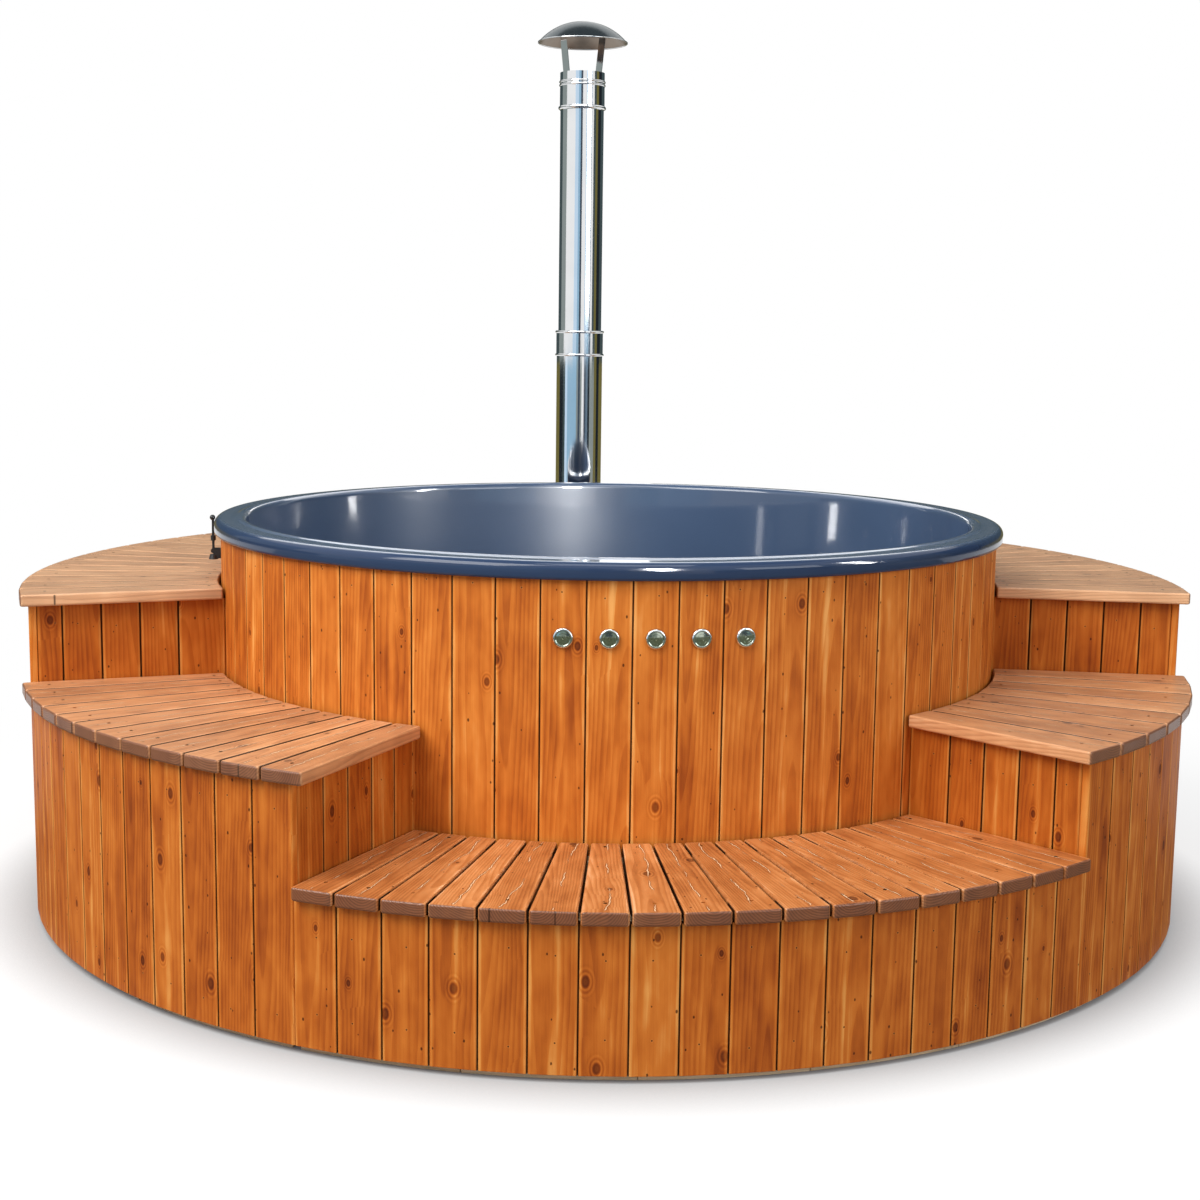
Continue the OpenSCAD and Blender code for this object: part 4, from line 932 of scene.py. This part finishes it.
steel = polished("polished_stainless", (0.80, 0.81, 0.82), 0.075, 0.05, 0.25)
brushed = polished("brushed_stainless", (0.42, 0.43, 0.44), 0.32, 0.20)
# The cap's top is a dark metal: painted reflection, for the dark it would mirror above it.
cap_outside = polished("cap_top_dark_painted_reflection", (0.140, 0.165, 0.175), 0.22)
chrome = polished("button_chrome", (0.76, 0.80, 0.80), 0.07, 0.0)
# The caps' olive-grey tint is partly painted reflection of the olive ground that they mirror.
cap_chrome = polished("button_cap_metal", (0.54, 0.60, 0.50), 0.10, 0.0)


# %% Cast and moulded finishes
def cast(name, colour, roughness, grain, metal=0.0, depth=0.0006):
    """Iron, rubber, plastic or foam. grain is how many grains there are in a metre."""
    f = Finish(name)
    place = f.place()
    grit = f.noise(place, grain, 3.0)
    drift = f.noise(place, 6.0, 3.0)
    tone = f.mix(drift * 0.5, colour, tuple(min(1, c * 1.6 + 0.004) for c in colour))
    return f.finish(Base_Color=tone, Metallic=metal, Roughness=roughness + (drift - 0.5) * 0.2,
                    Normal=f.bump(grit, 0.25, depth))


iron = cast("black_iron", (0.030, 0.029, 0.030), 0.52, 260.0, 0.2)
black_rubber = cast("black_rubber", (0.012, 0.012, 0.013), 0.38, 500.0)
grey_plastic = cast("grey_plastic", (0.26, 0.28, 0.31), 0.45, 90.0, depth=0.0003)
red_plastic = cast("red_plastic", (0.42, 0.03, 0.02), 0.35, 90.0, depth=0.0003)
foam = cast("foam_board", (0.80, 0.70, 0.48), 0.85, 320.0)
print("metal and moulded finishes ready")

# %% [markdown]
# ## The flue
# Lengths of rolled pipe push into each other. Each joint is stiffened by rolled
# beads, and the top carries a collar with three of them. A rain cap of spun sheet
# stands over it on two flat straps. On the lathe a bead is only a short arc that
# bulges out of the wall, and the soft shading does the rest.

# %% Flue
FLUE_Y, FLUE_R, FLUE_TOP_R, PIPE_WALL = 1.190, 0.0725, 0.068, 0.001
STOVE_TOP, SPLIT, JOINT_Z, JOINT_H, FLUE_TOP = 0.720, 1.363, 1.325, 0.080, 2.200
FIT, JOINT_T, COLLAR_T = 0.00005, 0.0013, 0.0015
JOINT_BEAD, BEAD_SUNK = 0.004, 0.0004
COLLAR_H, COLLAR_BEADS = 0.114, ((0.107, 0.0055), (0.038, 0.0035), (0.028, 0.0035))


def on_the_flue(name, outline):
    return turned(name, outline, (STOVE_X, FLUE_Y, 0), segments=160)


def flue_piece(node, outline):
    piece = gathered(node + "_turned", [on_the_flue(node, outline)], 50)
    print(node, len(piece.data.polygons), "faces")
    return dress(piece, "tub", steel, "stainless", node)


def pipe(radius, low, middle, high):
    """A plain pipe wall as an outline, with one more ring of points on its way up."""
    inner = radius - PIPE_WALL
    return [(inner, high), (inner, low), (radius, low), (radius, middle), (radius, high)]


def sleeve(inner, outer, low, high, beads):
    """A pipe wall with rolled beads, each (height, radius), as an outline."""
    outside = [(outer, low)]
    for z, bulge in sorted(beads):
        outside += arc_points((outer - BEAD_SUNK, z), bulge, -80, 80, 10)
    outside += [(outer, high)]
    return [(inner, high), (inner, low)] + outside


joint_top, shoulder = JOINT_Z + JOINT_H, SPLIT + 0.0005
joint_beads = ((JOINT_Z + JOINT_BEAD, JOINT_BEAD), (joint_top - JOINT_BEAD, JOINT_BEAD))
narrowing = [(FLUE_TOP_R + FIT, joint_top), (FLUE_TOP_R + FIT, shoulder), (FLUE_R + FIT, shoulder)]
flue_piece("flue_lower", pipe(FLUE_R, STOVE_TOP + 0.0003, 1.0, SPLIT))
flue_piece("flue_upper", pipe(FLUE_TOP_R, JOINT_Z + 0.005, 1.7, FLUE_TOP - 0.004))
joint = sleeve(FLUE_R + FIT, FLUE_R + JOINT_T, JOINT_Z, joint_top, joint_beads)
flue_piece("flue_coupling", joint[1:] + narrowing)
flue_piece("cap_collar", sleeve(FLUE_TOP_R + FIT, FLUE_TOP_R + COLLAR_T, FLUE_TOP - COLLAR_H, FLUE_TOP,
                                [(FLUE_TOP - below, bulge) for below, bulge in COLLAR_BEADS]))

# %% Rain cap
CAP_R, CAP_RISE, CAP_LIFT, CAP_T, HEM_R = 0.140, 0.065, 0.090, 0.0015, 0.0019
DOME_R = (CAP_R ** 2 + CAP_RISE ** 2) / (2 * CAP_RISE)
DOME_Z = FLUE_TOP + CAP_LIFT + CAP_RISE - DOME_R
DOME_HALF = math.degrees(math.asin(CAP_R / DOME_R))


def cap_outline():
    outer = arc_points((0, DOME_Z), DOME_R, 90 - DOME_HALF, 90, 24)
    inner = arc_points((0, DOME_Z), DOME_R - CAP_T, 90, 90 - DOME_HALF, 24)
    outer[-1], inner[0] = (0, outer[-1][1]), (0, inner[0][1])
    return outer + inner


def smoked():
    """The underside of the cap: brown with smoke, and black with soot over the pipe's mouth."""
    f = Finish("smoked_cap_inside")
    place = f.place()
    x, y, _ = f.split(place)
    from_pipe = ((x - STOVE_X) ** 2 + (y - FLUE_Y) ** 2) ** 0.5
    drift = f.noise(place, 30.0, 3.0)
    soot = f.step(from_pipe + (drift - 0.5) * 0.03, 0.115, 0.045)
    colour = f.mix(soot, f.mix(drift, (0.23, 0.185, 0.15), (0.31, 0.26, 0.215)), (0.014, 0.012, 0.011))
    return f.finish(Base_Color=colour, Metallic=1 - soot, Roughness=0.34 + soot * 0.4,
                    Normal=f.bump(drift, 0.2, 0.0004))


cap_inside = smoked()
hem = arc_points((CAP_R - HEM_R, DOME_Z + math.sqrt(DOME_R ** 2 - CAP_R ** 2) + HEM_R), HEM_R, 0, 345, 23)
cap = gathered("rain_cap_spun", [on_the_flue("cap", cap_outline())], 50)
dress(gathered("rain_cap_hem", [on_the_flue("hem", hem)], 50), "tub", steel, "stainless")
cap.data.materials.append(cap_outside)
cap.data.materials.append(cap_inside)
for face in cap.data.polygons:
    face.material_index = int(face.normal.z < 0)
dress(cap, "tub", None, "stainless", "rain_cap")
print("rain cap", round(2 * CAP_R, 3), "m wide")

# %% [markdown]
# ## Buttons
# Each air button is a chromed ring round a slightly domed cap. The cap has a turned
# groove and a small boss in the middle, so that a wet finger finds it. A flat cap
# would mirror a single spot of the room and look like paint. The low dome mirrors
# the ground below and the dark behind the camera, and so looks like metal.

# %% Buttons
WALL_FACE = WALL_R * math.cos(math.radians(STAVE_ANGLE / 2))
BEZEL_R, BUTTON_R, BUTTON_GAP = 0.0225, 0.016, 0.0001
RING_FOOT, RING_RISE, RING_IN, RING_CURVE = 0.0012, 0.0062, 0.0045, 2.2
BARREL = [(0.0063, -0.0012), (0.0063, -0.010), (0.015, -0.010), (0.015, -0.030), (0.0015, -0.030),
          (0.0015, -0.046), (0.003, -0.046), (0.003, -0.034), (0.019, -0.034), (0.019, 0.0)]
DOME_TOP, DOME_CURVE = 0.0066, 3.6
RELIEF = [(0, -0.0006), (0.0010, -0.0006), (0.0014, 0.0001), (0.0020, 0.0001), (0.0025, -0.0006),
          (0.0038, -0.0006), (0.0043, 0), (0.0065, 0), (0.0085, 0), (0.0098, 0), (0.0102, -0.0005),
          (0.0107, -0.0005), (0.0111, 0), (0.0130, 0), (0.0150, 0), (0.0160, -0.0007)]
STEM = [(BUTTON_R, 0.0025), (0.006, 0.0025), (0.006, -0.016), (0, -0.016)]


def bezel_outline():
    """The ring's rounded front, its lip round the cap, and the barrel behind the wall."""
    lip, foot = BUTTON_R + BUTTON_GAP, BEZEL_R - 0.0006
    front = [(foot, 0.0), (BEZEL_R, 0.0008)]
    for share in (0.15, 0.3, 0.45, 0.6, 0.75, 0.9, 1.0):
        height = RING_FOOT + RING_RISE * math.sin(math.pi / 2 * share)
        front.append((foot - RING_IN * share ** RING_CURVE, height))
    return front + [(lip + 0.0004, 0.00735), (lip, 0.0068), (lip, -0.0012)] + BARREL


def button_outline():
    """The cap's relief, laid on a low dome, and the stem behind it."""
    return [(radius, DOME_TOP - DOME_CURVE * radius ** 2 + height) for radius, height in RELIEF] + STEM


bezels = []
for number in range(5):
    azimuth = (number - 2) * STAVE_ANGLE
    spot, facing = around(azimuth, WALL_FACE, BUTTON_Z), around(azimuth, 1, 0)
    bezels.append(turned("bezel", bezel_outline(), spot, facing, 72))
    button = gathered(f"button_{number + 1}_cap", [turned("cap", button_outline(), spot, facing, 64)], 30)
    dress(button, f"button_{number + 1}", cap_chrome, "chrome_trim", f"button_cap_{number + 1}")
dress(gathered("button_rings", bezels, 40), "tub", chrome, "chrome_trim", "button_bezels")
print(len(bezels), "buttons")

# %% [markdown]
# ## Everything else
# The stove, the drain, the blower and the hidden frame keep their CAD shapes, which
# are already right, and take a finish each. Plywood shows its layers on an edge, so
# it gets a finish of its own, with a noise squeezed flat for the layers.


# %% Finishes for the other CAD pieces
def plywood():
    f = Finish("plywood")
    x, y, z = f.split(f.place())
    ply = f.step(f.noise(f.join(x * 2, y * 2, z * 400), detail=0.0), 0.4, 0.6)
    veneer = f.noise(f.join(x * 60, y * 4, z * 4), detail=3.0)
    colour = f.mix(veneer * 0.6 + ply * 0.3, (0.68, 0.48, 0.28), (0.46, 0.29, 0.15))
    return f.finish(Base_Color=colour, Roughness=0.7 + (veneer - 0.5) * 0.2,
                    Normal=f.bump(veneer, 0.2, 0.0005))


FINISHES = {
    gel: ("seat_ring",),
    foam: ("floor_insulation", "wall_insulation"),
    brushed: ("stove_casing",),
    steel: ("drain_grille", "air_nozzles", "tread_screws", "air_vent", "door_latch",
            "hinge_pins", "hose_clamps", "tub_flanges", "cap_straps", "blower_fan"),
    iron: ("firebox", "grate", "ash_drawer", "stove_door", "blower_motor"),
    black_rubber: ("button_nuts", "button_diaphragms", "air_tubes", "latch_bracket", "latch_lever",
                   "stove_hoses"),
    grey_plastic: ("floor_drain", "drain_pipe", "drain_valve", "air_manifold", "blower_housing",
                   "air_pipe"),
    red_plastic: ("valve_lever",),
    plywood(): ("base_deck", "wall_ribs"),
}
for material, names in FINISHES.items():
    for name in names:
        nodes[name].data.materials.clear()
        nodes[name].data.materials.append(material)
    print(material.name, "on", len(names), "CAD pieces")

# %% [markdown]
# ## Studio
# A pale floor and a white world. The camera and the mirrors see both as white, and
# the floor keeps a soft contact shadow, but what the floor throws back on the wood
# is held low, or every shadow would fill up. The Light Path node tells these uses
# apart. A large soft lamp stands at the front left, because the left of each step
# is the bright one in the photograph.

# %% Floor and world
FLOOR_HALF, FADE_FROM, FADE_TO = 40.0, 1.7, 2.9
SHADOW_REACH, SHADOW_DEPTH = 0.19, 1.4


def seen_directly(f):
    """1 for what the camera sees, by itself, in a mirror or through glass, and 0 for light that
    is only on its way to a matt surface."""
    path = f.node("ShaderNodeLightPath")
    seen = path.out("Is Camera Ray").math("MAXIMUM", path.out("Is Glossy Ray"))
    return seen.math("MAXIMUM", path.out("Is Transmission Ray"))


def studio_floor(bounce, seen_white):
    """White to the camera, apart from the shadow beside the object: far from it the floor glows, and next to
    it the glow, darkened by ambient occlusion into a painted contact shadow, is mixed with what the light
    really leaves there."""
    corners = [(x * FLOOR_HALF, y * FLOOR_HALF, 0) for x, y in ((-1, -1), (1, -1), (1, 1), (-1, 1))]
    floor = new_object("studio_floor", mesh_of("studio_floor", corners, [[0, 1, 2, 3]]))
    f = Finish("studio_floor")
    grey = f.node("ShaderNodeBsdfDiffuse", None, Color=(bounce,) * 3).out()
    white = f.node("ShaderNodeBsdfDiffuse", None, Color=(0.9, 0.9, 0.9)).out()
    x, y, _ = f.split(f.place())
    far = f.step((x * x + y * y) ** 0.5, FADE_FROM, FADE_TO)
    ambient = f.node("ShaderNodeAmbientOcclusion", {"samples": 8}, Distance=SHADOW_REACH)
    # A painted contact shadow: the glow darkened by ambient occlusion.
    glow_with_painted_shadow = f.mix(ambient.out("AO") ** SHADOW_DEPTH, (0.03, 0.03, 0.035), (1.0, 1.0, 1.0))
    glow = f.node("ShaderNodeEmission", None, Color=glow_with_painted_shadow, Strength=1.0).out()
    shown = f.node("ShaderNodeMixShader", None, far * (1 - seen_white) + seen_white, white, glow).out()
    either = f.node("ShaderNodeMixShader", None, seen_directly(f), grey, shown).out()
    floor.data.materials.append(f.show(either))


def studio_world(ambient):
    """White where it is seen, and a weaker soft light for everything else."""
    f = Finish("studio_world", world=True)
    soft = f.node("ShaderNodeBackground", None, Color=(0.95, 0.97, 1.0), Strength=ambient).out()
    white = f.node("ShaderNodeBackground", None, Color=(1, 1, 1), Strength=1.0).out()
    either = f.node("ShaderNodeMixShader", None, seen_directly(f), soft, white).out()
    bpy.context.scene.world = f.show(either)


studio_floor(0.36, 0.74)
studio_world(0.46)
print("floor and world ready")

# %% Lamps
AIM_Z = 0.5


def area_light(name, place, aim, energy, **shape):
    """A lamp with the given shape and colour at one place, turned towards another."""
    data = bpy.data.lights.new(name, "AREA")
    for key, value in shape.items():
        setattr(data, key, value)
    data.energy = energy
    made = new_object(name, data)
    made.location = place
    made.rotation_euler = (aim - place).to_track_quat("-Z", "Y").to_euler()
    print(name, round(energy), "W")
    return made


def softbox(name, azimuth, elevation, distance, size, level, colour=(1, 1, 1)):
    """A square lamp that lights a white surface facing it to the given level."""
    turn = math.radians(elevation)
    place = around(azimuth, distance * math.cos(turn), AIM_Z + distance * math.sin(turn))
    energy = level * math.pi ** 2 * distance ** 2
    area_light(name, place, Vector((0, 0, AIM_Z)), energy, shape="SQUARE", size=size, color=colour)


softbox("key_softbox", -52, 43, 8.0, 4.6, 0.95, (1.0, 0.985, 0.96))
softbox("fill_softbox", 40, 18, 8.0, 3.0, 0.21, (0.97, 0.985, 1.0))
softbox("top_softbox", 0, 70, 6.5, 3.0, 0.28)

# %% [markdown]
# ## Bands in the bath
# Soft upright bands of light run down the inside of the bath, and a thin bright line
# along the top of its rim. Stronger softboxes would give both, but they would also
# flatten the wood and wash out the pipe. So three strip lamps, one in front, one at
# the right and a very wide one behind, are linked to the bath and reach only its gloss.

# %% Strip lamps
STRIP_AT = 9.0
bath_only = bpy.data.collections.new("bath_only")
bath_only.objects.link(bath)


def strip_light(name, azimuth, width, low, high, radiance):
    """An upright strip that lights only the bath, and only its gloss."""
    place = around(azimuth, STRIP_AT, (low + high) / 2)
    made = area_light(name, place, Vector((0, 0, place.z)), radiance * math.pi * width * (high - low),
                      shape="RECTANGLE", size=width, size_y=high - low)
    made.visible_diffuse = False
    made.light_linking.receiver_collection = bath_only


strip_light("front_strip", 8, 1.0, 1.7, 6.5, 330.0)
strip_light("rim_strip", 180, 14.0, 2.4, 13.0, 2.2)
strip_light("right_strip", 67, 1.1, 1.7, 6.5, 95.0)

# %% [markdown]
# ## Reflection cards
# A mirror in a white room is a white shape on white. Photographers stand dark and
# coloured cards round the set, out of the picture, and the polished pipe draws them
# as upright stripes. Here each card is a curved strip that shows only in
# reflections. An angle of a, counted from the camera, lands on the pipe at sin(a/2)
# of its radius, which is how the stripes were placed. The camera looks down on the
# lower pipe, which therefore mirrors the lower row of cards, and up at the upper one.


# %% A card
def card(name, start, stop, near, far, colour):
    """A strip between two angles from the camera's own, negative to the left, and between two
    edges, each a (distance, height)."""
    count = max(2, int(abs(stop - start) / 3))
    verts = [around(CAMERA_TURN_DEG + start + (stop - start) * i / count, *edge)
             for i in range(count + 1) for edge in (near, far)]
    faces = [[2 * i, 2 * i + 2, 2 * i + 3, 2 * i + 1] for i in range(count)]
    made = new_object(name, mesh_of(name, verts, faces))
    f = Finish(name)
    glow = f.show(f.node("ShaderNodeEmission", None, Color=colour, Strength=1.0).out())
    glow.cycles.emission_sampling = "NONE"
    made.data.materials.append(glow)
    for kind in ("camera", "diffuse", "transmission", "shadow", "volume_scatter"):
        setattr(made, "visible_" + kind, False)


# %% All the cards
TEAL, ASH, OLIVE = (0.06, 0.085, 0.09), (0.29, 0.33, 0.32), (0.18, 0.155, 0.05)
PALE_SKY, SKY, STEEL_BLUE = (0.64, 0.82, 1.0), (0.33, 0.54, 0.72), (0.14, 0.21, 0.28)
NAVY, BLACK = (0.06, 0.08, 0.11), (0.015, 0.02, 0.025)
UPPER = [(-178, -126, TEAL), (-126, -92, ASH), (-38, -18, PALE_SKY), (-18, -6, SKY), (-6, 5, NAVY),
         (27, 39, PALE_SKY), (39, 50, SKY), (50, 61, STEEL_BLUE), (74, 88, TEAL), (88, 104, OLIVE),
         (104, 128, BLACK), (128, 178, TEAL)]
LOWER = [(-178, -122, OLIVE), (-122, -96, BLACK), (-96, -82, TEAL), (-82, -68, PALE_SKY), (-68, -16, SKY),
         (-16, -6, ASH), (-6, 5, NAVY), (5, 14, ASH), (27, 38, NAVY), (38, 49, STEEL_BLUE), (49, 60, BLACK),
         (60, 88, ASH), (88, 105, OLIVE), (105, 125, BLACK), (125, 178, OLIVE)]
CARD_AT, CARD_SPLIT, CARD_TOP = 9.0, 1.15, 5.5
for row, low, high, stripes in (("upper", CARD_SPLIT, CARD_TOP, UPPER), ("lower", 0.0, CARD_SPLIT, LOWER)):
    for number, (start, stop, colour) in enumerate(stripes):
        card(f"{row}_card_{number}", start, stop, (CARD_AT, low), (CARD_AT, high), colour)
card("olive_cloth", -100, 100, (1.47, 0.004), (8.5, 0.004), (0.16, 0.17, 0.12))
card("dark_ceiling", -180, 180, (0.3, 8.6), (5.5, 8.6), (0.20, 0.23, 0.25))
print(len(UPPER) + len(LOWER) + 2, "cards")
